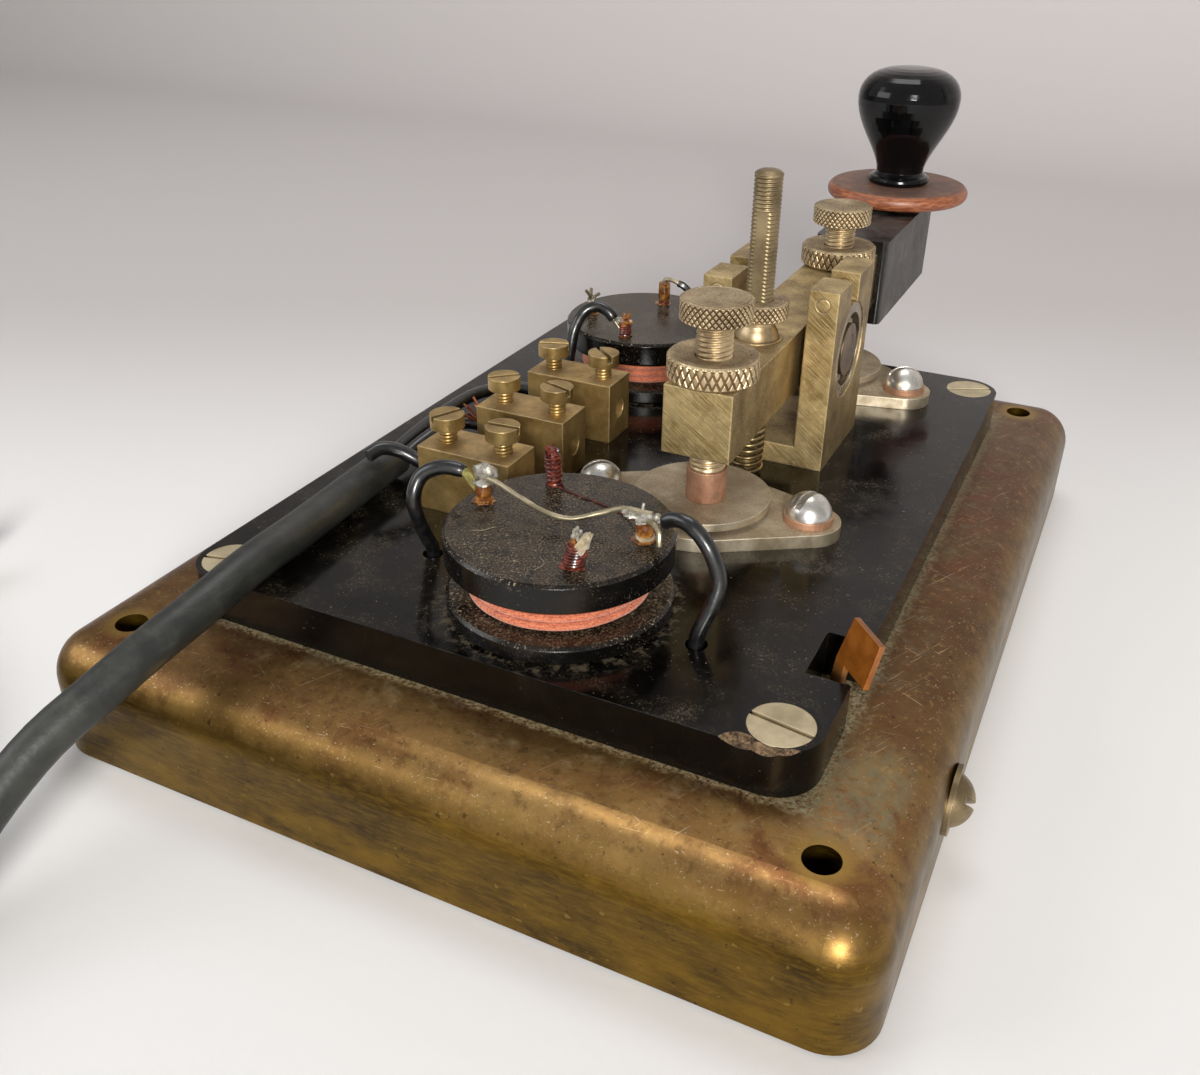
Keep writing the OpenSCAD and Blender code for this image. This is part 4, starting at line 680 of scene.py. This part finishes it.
def coil_points():
    inner = COIL_R - COIL_TURNS * COIL_STEP

    def at(degrees, r, rise):
        a = radians(degrees)
        return COIL_MIDDLE + Vector((r * cos(a), r * sin(a), rise * COIL_STEP))

    layer, climb, turn = COIL_TURNS * LOOP_RINGS, LOOP_RINGS // 2, 360 / LOOP_RINGS
    points = [at(180 - i * turn, COIL_R - i * COIL_STEP / LOOP_RINGS, 0) for i in range(1, layer + 1)]
    for i in range(1, climb + 1):
        points.append(at(180 - i * turn, inner - CLIMB_DIP * sin(pi * i / climb), i / climb))
    points += [at(-i * turn, inner + i * COIL_STEP / LOOP_RINGS, 1) for i in range(1, layer + 1)]
    return points + [COIL_MIDDLE + Vector((COIL_R, -d, COIL_STEP - drop)) for d, drop in TAIL_DROP]


def make_cable():
    data = bpy.data.curves.new("cable", "CURVE")
    data.dimensions = "3D"
    data.bevel_depth = CABLE_D / 2 * MM
    data.bevel_resolution = 7
    data.use_fill_caps = True
    smooth = smooth_line(CABLE_ROUTE + coil_points(), CABLE_STEP)
    spline = data.splines.new("POLY")
    spline.points.add(len(smooth) - 1)
    for point, p in zip(spline.points, smooth):
        point.co = (*(p * MM), 1)
    spline.use_smooth = True
    data.materials.append(LOOKS["rubber"])
    cable = link("cable_sheath", data)
    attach(cable, "base")
    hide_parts("cable", "cable_coil")
    length = sum((b - a).length for a, b in zip(smooth, smooth[1:])) * MM
    return cable, tuple(smooth[0] * MM), round(length, 3)


def make_tie():
    """Flat tie round the coil's turns."""
    bottom, top = span_of("cable_tie")
    c, s = cos(TIE_TURN), sin(TIE_TURN)
    across, along = Vector((c, s, 0)), Vector((-s, c, 0))
    far, near = TIE_OUTER - TIE_CORNER, TIE_INNER + TIE_CORNER
    high, low = top - TIE_CORNER, bottom + TIE_CORNER
    bend = TIE_CORNER - TIE_HALF_THICK
    rings = []
    for quarter, (corner_r, corner_z) in enumerate(((far, high), (near, high), (near, low), (far, low))):
        for degrees in range(0, 91, 18):
            a = radians(90 * quarter + degrees)
            r, z = corner_r + bend * cos(a), corner_z + bend * sin(a)
            r_out, z_out = r - (TIE_INNER + TIE_OUTER) / 2, z - (bottom + top) / 2
            size = hypot(r_out, z_out)
            push = Vector((0, 0, z_out / size)) + across * (r_out / size)
            p = COIL_MIDDLE + across * r + Vector((0, 0, z - COIL_MIDDLE.z))
            rings.append([p + along * (w * TIE_HALF_WIDTH) + push * (h * TIE_HALF_THICK)
                          for w, h in ((-1, -1), (1, -1), (1, 1), (-1, 1))])
    return Mesh().loft(rings, closed=True).piece("coil_tie", ["sleeve"], "base", "sleeve", ["cable_tie"])


cable, cable_exit, cable_length = make_cable()
tie = make_tie()


# Wires and leads, with heights from the plate's top, as in part.scad

UNDER = -11
LEAD_R, LEAD_STEP = 1.4, 0.5


def down(x, y, top, bend, *under):
    """A wire's way straight down through the plate, round a bend and along under it."""
    return [(x, y, z) for z in (top, -4.5, UNDER + 1.6)] + [(*bend, UNDER + 0.3)] + [(*p, UNDER) for p in under]


ROUTES = {
    "lead_left": [(10.5, 57.2, 18.8), (12.8, 56.6, 20.4), (17, 57.6, 20.8), (20.6, 59, 18.8), (21.4, 60.8, 15),
        (21.2, 60, 10), (21.8, 57, 4.5),
        *down(22, 55.2, 1, (22.3, 53.8), (23.1, 50.4), (24, 44), (24, 39))],
    "lead_right": [(-25.8, 56.2, 18.8), (-28, 55.8, 20.4), (-31.6, 56.6, 20.4), (-35.4, 57.4, 17.2),
        (-37.5, 57.6, 12), (-37.2, 59, 8), (-35.9, 60.2, 3.8),
        *down(-35.2, 60.5, 0.8, (-35.2, 59), (-35.4, 55.6), (-37.4, 40), (-39.8, 17.6))],
    "lead_front": [(25.4, -33, 19.2), (27.2, -33, 21.3), (30.2, -32.8, 22.2), (33, -31.2, 20.8),
        (34.4, -28.4, 16.5), (34.8, -26.4, 9),
        *down(35, -25.8, 1, (34.2, -24.6), (32.2, -21.8), (26.2, -14.4))],
    "trunnion_wire": [(20.4, 10.4, UNDER), (10, 4, UNDER), (-6, -9, UNDER), (-15.8, -17.6, UNDER)],
    "front_wire": down(14, -56, -0.4, (13.2, -57.1), (11, -59.8), (6, -66), (4, -69)),
    "link": [(9.4, 56.8, 20.6), (5.4, 57.6, 20.4), (0, 59.2, 19.6), (-6, 60.2, 18.4), (-10.6, 59.6, 18),
        (-15, 57.2, 19), (-19, 56.2, 20.4), (-24.4, 56.2, 20.6)],
    "core_rear": [(46.2, 41.8, 9.9), (44.8, 38.8, 10.6), (42, 36.4, 9.6), (38.6, 35.2, 7.8), (35.4, 35, 7),
        (28, 35, 7)],
    "core_middle": [(45.8, 30.6, 4.4), (45.4, 25, 5.6), (43.6, 17, 7), (40.4, 13.2, 7.2), (36.4, 12.2, 7),
        (28, 12.2, 7)],
    "core_front": [(49.2, 30.6, 4.4), (49.2, 18, 5.8), (48, 2, 7), (45.6, -6, 7), (41.4, -9.8, 7.2),
        (36.4, -10.6, 7), (28, -10.6, 7)],
}


def route(name, step=0.8):
    return smooth_line([Vector(p) + Vector((0, 0, PLATE_TOP)) for p in ROUTES[name]], step)


def sleeved(name, replaces, core, bare, core_r):
    """Sleeved lead: its sleeve starts after bare millimetres of core, which runs on into the joint."""
    line = route(name, LEAD_STEP)
    first = round(bare / LEAD_STEP)
    radii = [LEAD_R + 0.05 * noise.noise(p * 0.5) for p in line[first:]]
    radii[0], radii[1] = 1.12, 1.3
    mesh = Mesh().tube(line[first:], radii, 14)
    out = (line[0] - line[1]).normalized()
    end = [line[0] + out * d for d in (2.0, 1.4, 0.7)] + line[:first + 3]
    radii = [core_r * (0.7 + 0.3 * min(1, i / 4)) + 0.12 * noise.noise(p * 1.7) for i, p in enumerate(end)]
    mesh.tube(end, radii, 10, mark=1).piece(name, ["sleeve", core], "base", "sleeve", [replaces])


sleeved("lead_left", "rear_coil_lead_left", "frayed", 3.0, 0.85)
sleeved("lead_right", "rear_coil_lead_right", "tin", 0.5, 0.55)
sleeved("lead_front", "front_coil_lead", "tin", 0.5, 0.55)
wires = Mesh()
for part in ("trunnion_wire", "front_wire"):
    wires.tube(route(part), LEAD_R, 12)
wires.piece("wires_under_plate", ["sleeve"], "base", "sleeve", ["panel_wires"])
link_line = route("link", LEAD_STEP)
Mesh().tube(link_line, [0.5 + 0.07 * noise.noise(p * 1.3) for p in link_line], 12).piece(
    "link_wire", ["tin"], "base", "tin", ["rear_coil_link"])


def make_cores():
    """The cable's cores, with bare strands at the blocks; a few strands of the middle one stray."""
    bare_from, core_r, strand_r, lay_r, lay_turn, stray_r = 37.2, 1.5, 0.4, 0.78, 0.22, 0.27
    mesh = Mesh()
    for part in ("core_rear", "core_middle", "core_front"):
        line = route(part)
        bare = next(i for i, p in enumerate(line) if p.x < bare_from)
        mesh.tube(line[:bare + 1], core_r, 12)
        for k in range(7):
            r = 0 if k == 6 else lay_r
            turns = (TAU * k / 6 + i * lay_turn for i in range(len(line)))
            twist = [p + Vector((0, r * cos(a), r * sin(a))) for p, a in zip(line[bare - 4:], turns)]
            mesh.tube(twist, strand_r, 6, mark=1)
    x, y, z = 36.2, 12.2, PLATE_TOP + 7
    ends = ((3.2, 1.6, 4.6), (4.4, 2.6, 3.0), (3.4, -1.4, 5.6), (4.8, 0.6, 4.4), (2.4, 3.0, 3.6), (3.8, -2.4, 3.2))
    for k, (dx, dy, dz) in enumerate(ends):
        stray = [(x - 1.6, y + 0.15 * k - 0.3, z + 0.5), (x + 0.2, y + 0.3 * dy, z + 0.9),
                 (x + 0.6 * dx, y + 0.75 * dy, z + 0.7 * dz), (x + dx, y + dy, z + dz)]
        mesh.tube(smooth_line(stray, 0.4), stray_r, 6, mark=1)
    mesh.piece("cable_core_ends", ["sleeve", "bare_copper"], "base", "sleeve", ["cable_cores"])


make_cores()


# Coils

def make_winding(end):
    """Cotton-covered wire, wound in flat turns that touch, over the inner layers."""
    mid = centre_of(end + "_coil_bobbin")
    low, high = span_of(end + "_coil_winding")
    turns, thick, gap, outer, slope = 3, 0.9, 0.15, 15.9, 0.22
    pitch = (high - low - gap) / (turns + 1)
    flat = pitch / 2
    steps, sides = 72, 12
    rings = []
    for i in range(turns * steps + 1):
        a = TAU * i / steps
        uneven = 0.1 * noise.noise(Vector((cos(a) * 2, sin(a) * 2, i / steps * 1.7)))
        radius = outer - slope * i / steps + uneven
        z = low + gap / 2 + flat + i * pitch / steps
        ring = []
        for b in (TAU * k / sides for k in range(sides)):
            r = radius + thick * cos(b)
            ring.append((mid.x + r * cos(a), mid.y + r * sin(a), z + flat * sin(b)))
        rings.append(ring)
    inner_layers = ((6.1, low + 0.05), (14.8, low + 0.05), (15.2, low + 0.6), (14.8, high - 0.6),
                    (14.4, high - 0.05), (6.1, high - 0.05))
    mesh = Mesh().loft(rings).lathe(inner_layers, mid, steps, closed=True)
    mesh.piece(end + "_winding", ["silk"], "base", "silk", [end + "_coil_winding"])


make_winding("rear")
make_winding("front")


PEG_LOOKS = ["lacquer", "solder", "flux", "lint", "tin", "sleeve"]
LACQUER, SOLDER, FLUX, LINT, TIN, SLEEVE = range(6)
COIL_TOP = span_of("rear_coil_bobbin")[1]
PEG_ROOT = -2.4


class Tags(Mesh):
    """Pegs, ferrules, solder and wire ends on one bobbin, placed from its middle and top."""

    def __init__(self, bobbin):
        super().__init__()
        self.mid = centre_of(bobbin)

    def at(self, x, y, z=0):
        return self.mid.x + x, self.mid.y + y, COIL_TOP + z

    def lump(self, place, radii, seed, rough=0.5, mark=SOLDER, lean=(0, 0)):
        self.blob(self.at(*place), radii, seed, rough, mark, lean)

    def wire(self, points, radius, mark, step=0.4, sides=8):
        self.tube(smooth_line([self.at(*p) for p in points], step), radius, sides, mark)

    def peg(self, x, y, height, lean, seed, marks, stout):
        """Tag wrapped with lacquered wire in uneven turns, frayed at its top."""
        wrap, top, foot = marks
        x, y, base = self.at(x, y)
        tilt = Vector((*lean, 0))

        def at(h, out=0.0, a=0.0):
            return Vector((x + tilt.x * h + out * cos(a), y + tilt.y * h + out * sin(a), base + h))

        stem = [at(h) for h in (PEG_ROOT, 0, height * 0.5, height - 0.4, height)]
        self.tube(stem, [1.0, stout, stout, stout * 0.9, stout * 0.5], 10, wrap)
        turns, around = 7, 14
        coil = []
        for i in range(turns * around + 1):
            share = i / (turns * around)
            wobble = 0.2 * noise.noise(Vector((seed, i * 0.21, 0)))
            coil.append(at(0.35 + share * (height - 1.2), stout + 0.08 + wobble, TAU * i / around + seed))
        self.tube(coil, 0.3, 7, wrap)
        self.blob(tuple(at(height - 0.3)), (stout * 0.95, stout * 0.9, 0.9), seed, 0.8, top)
        for k in range(3):
            a = seed + k * 2.1
            hair = [at(height - 1.2, stout * 0.6, a), at(height, stout * 0.75, a + 0.3),
                    at(height + 0.5 + 0.25 * k, stout * 0.8, a)]
            self.tube(hair, [0.24, 0.22, 0.14], 6, top)
        self.blob((x, y, base + 0.2), (stout + 0.5, stout + 0.4, 0.35), seed + 3, 0.5, foot)

    def ferrule(self, x, y, height, seed, band, radius):
        """Amber-stained ferrule with a band low on it and a collar of flux round its foot."""
        x, y, base = self.at(x, y)
        outline = ((0.72, PEG_ROOT), (0.8, 0), (0.98, 0.3), (0.9, 0.8), (0.88, 1.2), (1.02, 1.6),
                   (1.04, height * 0.7), (1, height - 0.3), (0.75, height))
        for rings, mark in ((outline, FLUX), (((0.8, 0.1), (1.0, 0.2), (1.0, 0.9), (0.8, 1.0)), band)):
            self.lathe([(radius * r, base + h) for r, h in rings], (x, y), 24, mark=mark)
        self.blob((x, y, base + 0.12), (radius * 1.35, radius * 1.2, 0.28), seed + 5, 0.6, FLUX)


def make_rear_tags():
    tags = Tags("rear_coil_bobbin")
    # Left tag: a large tilted lump of solder
    tags.ferrule(16.2, -1.3, 3.6, 1.7, FLUX, 1.55)
    tags.lump((16.3, -2.2, 5.5), (2.6, 1.3, 1.7), 1.7, 0.35, lean=(-0.2, 0.1))
    tags.lump((16.0, -1.2, 3.9), (1.7, 1.6, 0.8), 3.1)
    # Right tag: three lumps of solder, a spike and the lead's end
    tags.ferrule(-15.5, -2, 3.6, 4.1, LINT, 1.66)
    tags.lump((-15.3, -2.1, 4.1), (2.0, 1.6, 0.95), 4.1, 0.6)
    tags.lump((-12.9, -1.9, 4.2), (1.8, 0.9, 0.8), 8.2, 0.6)
    tags.lump((-17.3, -2.4, 4.0), (1.3, 1.1, 0.9), 9.4, 0.6)
    tags.wire([(-14.6, -2.6, 4.3), (-14.5, -2.9, 5.3), (-14.6, -3.1, 6.2)], 0.3, SOLDER)
    tags.wire([(-16.4, -0.9, 4.2), (-18.0, 0.1, 4.4), (-19.2, 0.9, 3.6), (-19.5, 1.4, 2.3), (-19.6, 1.5, 1.5)],
              0.5, TIN)
    # Far and near tags, and the fine wire over the bobbin's top
    tags.peg(8, -13.1, 7.0, (0.07, 0.0), 0.6, (LACQUER, LACQUER, LACQUER), 1.25)
    tags.peg(-8.6, 11.5, 5.2, (-0.2, 0.02), 2.3, (LACQUER, FLUX, LACQUER), 1.6)
    tags.lump((-10.9, 12.2, 5.2), (1.0, 1.1, 2.7), 12.4, 0.6, LINT, (-0.42, 0.04))
    tags.lump((-9.4, 11.7, 6.0), (0.9, 0.8, 1.5), 15.1, 0.7, lean=(-0.1, 0))
    tags.wire([(7, -12.2, 0.3), (4, -11.2, 0.16), (0.5, -10.4, 0.2), (-3, -9.8, 0.16), (-7.4, -8.4, 0.18),
               (-11, -6.2, 0.6), (-13.6, -3.6, 2.4)], 0.17, LACQUER, 0.6, 6)
    # Hairs
    tags.wire([(9.5, 6.0, 0.05), (10.6, 8.2, 0.2), (12.4, 8.9, 0.05)], 0.045, LINT, sides=5)
    tags.wire([(-2.4, 11.6, 0.05), (-4.2, 13.4, 0.3), (-3.6, 15.6, 0.05)], 0.045, LINT, sides=5)
    tags.piece("rear_coil_tags", PEG_LOOKS, "base", "copper", ["rear_coil_pegs"])


def make_front_tags():
    tags = Tags("front_coil_bobbin")
    # Near tag: brown and amber, with the lead's end twisted on it
    tags.peg(-1, 15.5, 5.2, (-0.04, 0), 6.1, (LACQUER, FLUX, FLUX), 1.15)
    tags.lump((-1.2, 15.9, 3.6), (1.5, 1.3, 1.3), 6.4, 0.7, FLUX)
    tags.lump((0.5, 15.8, 3.9), (1.3, 0.8, 0.7), 6.9, 0.7)
    tags.lump((-0.9, 16.3, 1.6), (0.6, 0.6, 0.9), 2.9, 0.7)
    # Left tag: tinned wire ends twisted together
    x, y, twist_r, spread = 14.1, 3.6, 0.75, 2.0
    tags.ferrule(x, y, 2.6, 7.7, FLUX, 1.4)
    for k in range(3):
        a = TAU * k / 3
        twist = [(x + twist_r * cos(a + 0.5 * i), y + twist_r * sin(a + 0.5 * i), 1.6 + 0.42 * i)
                 for i in range(8)]
        twist.append((x + spread * cos(a + 3.2), y + spread * sin(a + 3.2), 5.4 + 0.5 * k))
        tags.wire(twist, 0.42, TIN)
    tags.lump((x, y, 3.4), (1.2, 1.2, 0.9), 7.9, 0.6)
    # Far tag: tall amber ferrule, its wire bent over to a sleeved end
    tags.ferrule(0.4, -11.8, 6.0, 3.9, LACQUER, 1.5)
    tags.wire([(0.6, -11.8, 5.4), (0.2, -11.8, 6.5), (-1.4, -11.9, 6.7), (-3.2, -12.0, 6.2), (-4.6, -12.2, 5.4)],
              0.6, TIN)
    tags.wire([(-3.4, -12.0, 6.1), (-4.8, -12.2, 5.5), (-6.2, -12.6, 4.2), (-7.0, -12.9, 2.6), (-7.3, -13.0, 0.9)],
              0.95, SLEEVE)
    # Right tag: a guess
    tags.peg(-14.2, -3.2, 6.0, (0.03, 0), 5.2, (LACQUER, SOLDER, FLUX), 1.2)
    tags.piece("front_coil_tags", PEG_LOOKS, "base", "copper", ["front_coil_pegs"])


make_rear_tags()
make_front_tags()


# Turned pieces: threads and knurls

DIAMOND = 12  # points to a knurl's diamond, both ways
KNURL_LOOKS = ["knurled", "groove"]


def thread_rings(x, y, radius, pitch, low, high, depth, sides=44, per_turn=6):
    """Rings of a screw thread, plain at both ends."""
    count = max(2, round((high - low) / pitch * per_turn))
    rings = []
    for i in range(count + 1):
        z = low + (high - low) * i / count
        cut = depth * max(0.0, min(1, (z - low) / pitch, (high - z) / pitch))
        rings.append(ring_at(x, y, [radius - cut * (1 - ridge(z / pitch - k / sides)) for k in range(sides)], z))
    return rings


def knurl_groove(u, v):
    """Depth from 0 to 1 of two families of crossing grooves. u counts diamonds round and v counts them up."""
    half_width = 0.17
    return max(max(0.0, 1 - abs(t - round(t)) / half_width) for t in (u + v, u - v))


def knurled_disc(mesh, x, y, d, low, high, count, rim, depth=0.3, bore=0.0, dish=0.0, foot=(), slim=1.2):
    """Knurled head or nut: rounded rims, a turned line on its top, and a bore or a solid middle.
    slim is a diamond's height by its width."""
    r, sides = d / 2, DIAMOND * count
    inner = bore / 2 if bore else 0.02
    plain = r - depth
    knurl_low, knurl_high = low + rim * 0.8, high - rim * 0.8
    rows = max(6, round((knurl_high - knurl_low) / (TAU * r / count * slim) * DIAMOND))
    foot = foot or ((inner, low), (plain - rim * 0.8, low))
    rings = turned(x, y, (*foot, (plain - rim * 0.25, low + rim * 0.2), (plain, low + rim * 0.55)), sides)
    first = len(rings)
    for j in range(rows + 1):
        radii = [r - depth * knurl_groove(k / DIAMOND, j / DIAMOND) for k in range(sides)]
        rings.append(ring_at(x, y, radii, knurl_low + (knurl_high - knurl_low) * j / rows))
    rings += turned(x, y, (
        (plain, high - rim * 0.55), (plain - rim * 0.3, high - rim * 0.15), (plain - rim, high),
        (plain - rim * 1.9, high), (plain - rim * 2.05, high - 0.1), (plain - rim * 2.2, high - 0.02 - dish * 0.3),
        (max(inner, plain * 0.5), high - 0.02 - dish), (inner, high - 0.02 - dish),
    ), sides)
    start = len(mesh.faces)
    mesh.loft(rings, closed=bool(bore))
    # Faces in the grooves take the second look, painted dark as shade.
    for j in range(rows):
        for k in range(sides):
            if knurl_groove((k + 0.5) / DIAMOND, (j + 0.5) / DIAMOND) > 0.4:
                mesh.marks[start + (first + j) * sides + k] = 1
    return mesh


def make_contact_screw(end):
    screw, nut = end + "_contact_screw", end + "_lock_nut"
    screw_r, pitch, depth, head_d, head_h, nut_d, nut_bore, diamonds = 3.7, 1.0, 0.42, 14, 4.4, 18, 7.5, 36
    x, y, _ = centre_of(screw)
    low, high = span_of(screw)
    head_low = high - head_h
    mesh = Mesh().loft(thread_rings(x, y, screw_r, pitch, low, head_low + 0.2, depth))
    knurled_disc(mesh, x, y, head_d, head_low, high, diamonds, 0.4, 0.36)
    mesh.piece(end + "_adjuster", KNURL_LOOKS, end + "_screw", "knurled_brass", [screw], sharp=24)
    mesh = knurled_disc(Mesh(), x, y, nut_d, *span_of(nut), diamonds, 0.75, bore=nut_bore, dish=0.4, slim=2.1)
    mesh.piece(end + "_lock_ring", KNURL_LOOKS, end + "_lock", "knurled_brass", [nut], sharp=24)


make_contact_screw("rear")
make_contact_screw("front")


def make_tension_gear():
    x, y, _ = centre_of("tension_nut")
    low, high = span_of("tension_nut")
    wheel_d, wheel_h, bore, ball, diamonds = 12.4, 3.7, 5.92, 4.6, 34
    rim_low = high - wheel_h
    ball_z = rim_low - ball
    boss = [low + rise for rise in (0, 0.8, 1.6, 2.4, 3.2, 4.0, 4.7, 5.3)]
    foot = [(bore / 2, low)] + [(sqrt(ball ** 2 - (z - ball_z) ** 2), z) for z in boss]
    foot += [(3.5, rim_low - 1.4), (3.6, rim_low - 0.4), (4.2, rim_low)]
    knurled_disc(Mesh(), x, y, wheel_d, rim_low, high, diamonds, 0.45, bore=bore, foot=foot).piece(
        "tension_wheel", KNURL_LOOKS, "tension_nut", "knurled_brass", ["tension_nut"], sharp=24)
    low, high = span_of("tension_rod")
    rod_r, pitch, depth, sides = 2.9, 0.8, 0.3, 40
    plain_top = low + 4.5
    flat_y, flat_top = y + rod_r - 0.6, high - 7.9
    rings = turned(x, y, ((1.6, low), (2.35, low + 0.5), (2.4, plain_top - 0.1)), sides)
    rings += thread_rings(x, y, rod_r, pitch, plain_top, high - 0.9, depth, sides)
    rings += turned(x, y, ((2.5, high - 0.55), (1.8, high - 0.2), (0.8, high)), sides)
    for ring in rings:
        if plain_top < ring[0][2] < flat_top:
            ring[:] = [(px, min(py, flat_y), pz) for px, py, pz in ring]
    Mesh().loft(rings).piece("tension_stem", ["rod"], "tension_rod", "brass", ["tension_rod"], sharp=30)


make_tension_gear()


def make_spring():
    low, high = span_of("tension_spring")
    mid = centre_of("tension_rod")
    turns, radius, wire, steps = 10, 3.2, 0.4, 30
    line = []
    for i in range(turns * steps + 1):
        share = i / (turns * steps)
        eased = share + 0.018 * sin(TAU * share)
        a = TAU * i / steps
        z = low + wire + eased * (high - low - 2 * wire)
        line.append((mid.x + radius * cos(a), mid.y + radius * sin(a), z))
    spring = Mesh().tube(line, wire, 10).piece("balance_spring", ["spring"], None, "steel", ["tension_spring"])
    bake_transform(spring)


make_spring()


def make_terminal_threads():
    """Thread that shows between each clamp screw's head and its block."""
    radius, pitch, depth, root, rise, half_pitch = 1.92, 0.75, 0.16, 0.5, 3.15, 6.5
    mesh = Mesh()
    top = span_of(TERMINAL_BLOCKS[0])[1]
    for block in TERMINAL_BLOCKS:
        mid = centre_of(block)
        for side in (-half_pitch, half_pitch):
            mesh.loft(thread_rings(mid.x + side, mid.y, radius, pitch, top - root, top + rise, depth, 36, 8))
    mesh.piece("terminal_threads", ["screw_brass"], "base", "brass")


make_terminal_threads()


# Stage, in metres: pale floor running up into a grey backdrop, and soft light

FLOOR_Z, BEND_R, BACK_Y, FRONT_Y, HALF_WIDE, WALL_TOP = -0.0006, 0.25, -0.75, 2.5, 6.0, 2.2
ROOM_LIGHT, ROOM_SEEN = 0.13, 0.5


def make_stage():
    look = Look("stage", 0.9)
    depth = look.scaled(look.along(0), 0.438, look.times(look.along(1), -0.899))
    look.ground(depth, (243, 242, 241), (200, 195, 194), -10.0, 230.0)
    look.raise_by(look.noise(2.2, 3), 0.03)
    bend_y = BACK_Y + BEND_R
    profile = [(FRONT_Y, FLOOR_Z), (bend_y, FLOOR_Z)]
    for a in (radians(degrees) for degrees in range(6, 91, 6)):
        profile.append((bend_y - BEND_R * sin(a), FLOOR_Z + BEND_R - BEND_R * cos(a)))
    profile.append((BACK_Y, WALL_TOP))
    mesh = bpy.data.meshes.new("floor")
    points = [(x, y, z) for y, z in profile for x in (-HALF_WIDE, HALF_WIDE)]
    mesh.from_pydata(points, [], [(2 * i, 2 * i + 1, 2 * i + 3, 2 * i + 2) for i in range(len(profile) - 1)])
    mesh.polygons.foreach_set("use_smooth", [True] * len(mesh.polygons))
    mesh.materials.append(look.finish())
    floor = link("floor", mesh)


def lamp(name, place, aim, size, power, colour=(1, 1, 1)):
    data = bpy.data.lights.new(name, "AREA")
    data.shape = "RECTANGLE"
    data.size, data.size_y = size
    data.energy = power
    data.color = colour
    item = link(name, data)
    item.location = place
    item.visible_camera = False
    item.rotation_euler = (Vector(aim) - Vector(place)).to_track_quat("-Z", "Y").to_euler()


def make_light():
    world = bpy.data.worlds.new("studio")
    scene.world = world
    world.use_nodes = True
    room = Tree(world.node_tree)
    ground = next(n for n in room.tree.nodes if n.type == "BACKGROUND")
    ground.inputs["Color"].default_value = (0.9, 0.9, 0.92, 1)
    # Eye and mirror rays meet a pale room, and the light it sheds stays low
    rays = room.add("LightPath").outputs
    seen = rays["Is Camera Ray"]
    for kind in ("Is Glossy Ray", "Is Transmission Ray"):
        seen = room.math("MAXIMUM", seen, rays[kind])
    room.fill(ground, {"Strength": room.scaled(seen, ROOM_SEEN - ROOM_LIGHT, ROOM_LIGHT)})
    lamp("key", (-0.83, 1.83, 0.71), (-0.01, -0.01, 0.05), (0.45, 0.45), 53.0, (1, 0.98, 0.95))
    lamp("fill", (0.75, 0.5, 0.55), (0, 0, 0.03), (0.6, 0.4), 2.4, (0.96, 0.98, 1))
    lamp("top", (0.1, -0.25, 0.95), (0, 0, 0.03), (0.5, 0.35), 2.2)


make_stage()
make_light()
scene.view_settings.view_transform = "Standard"
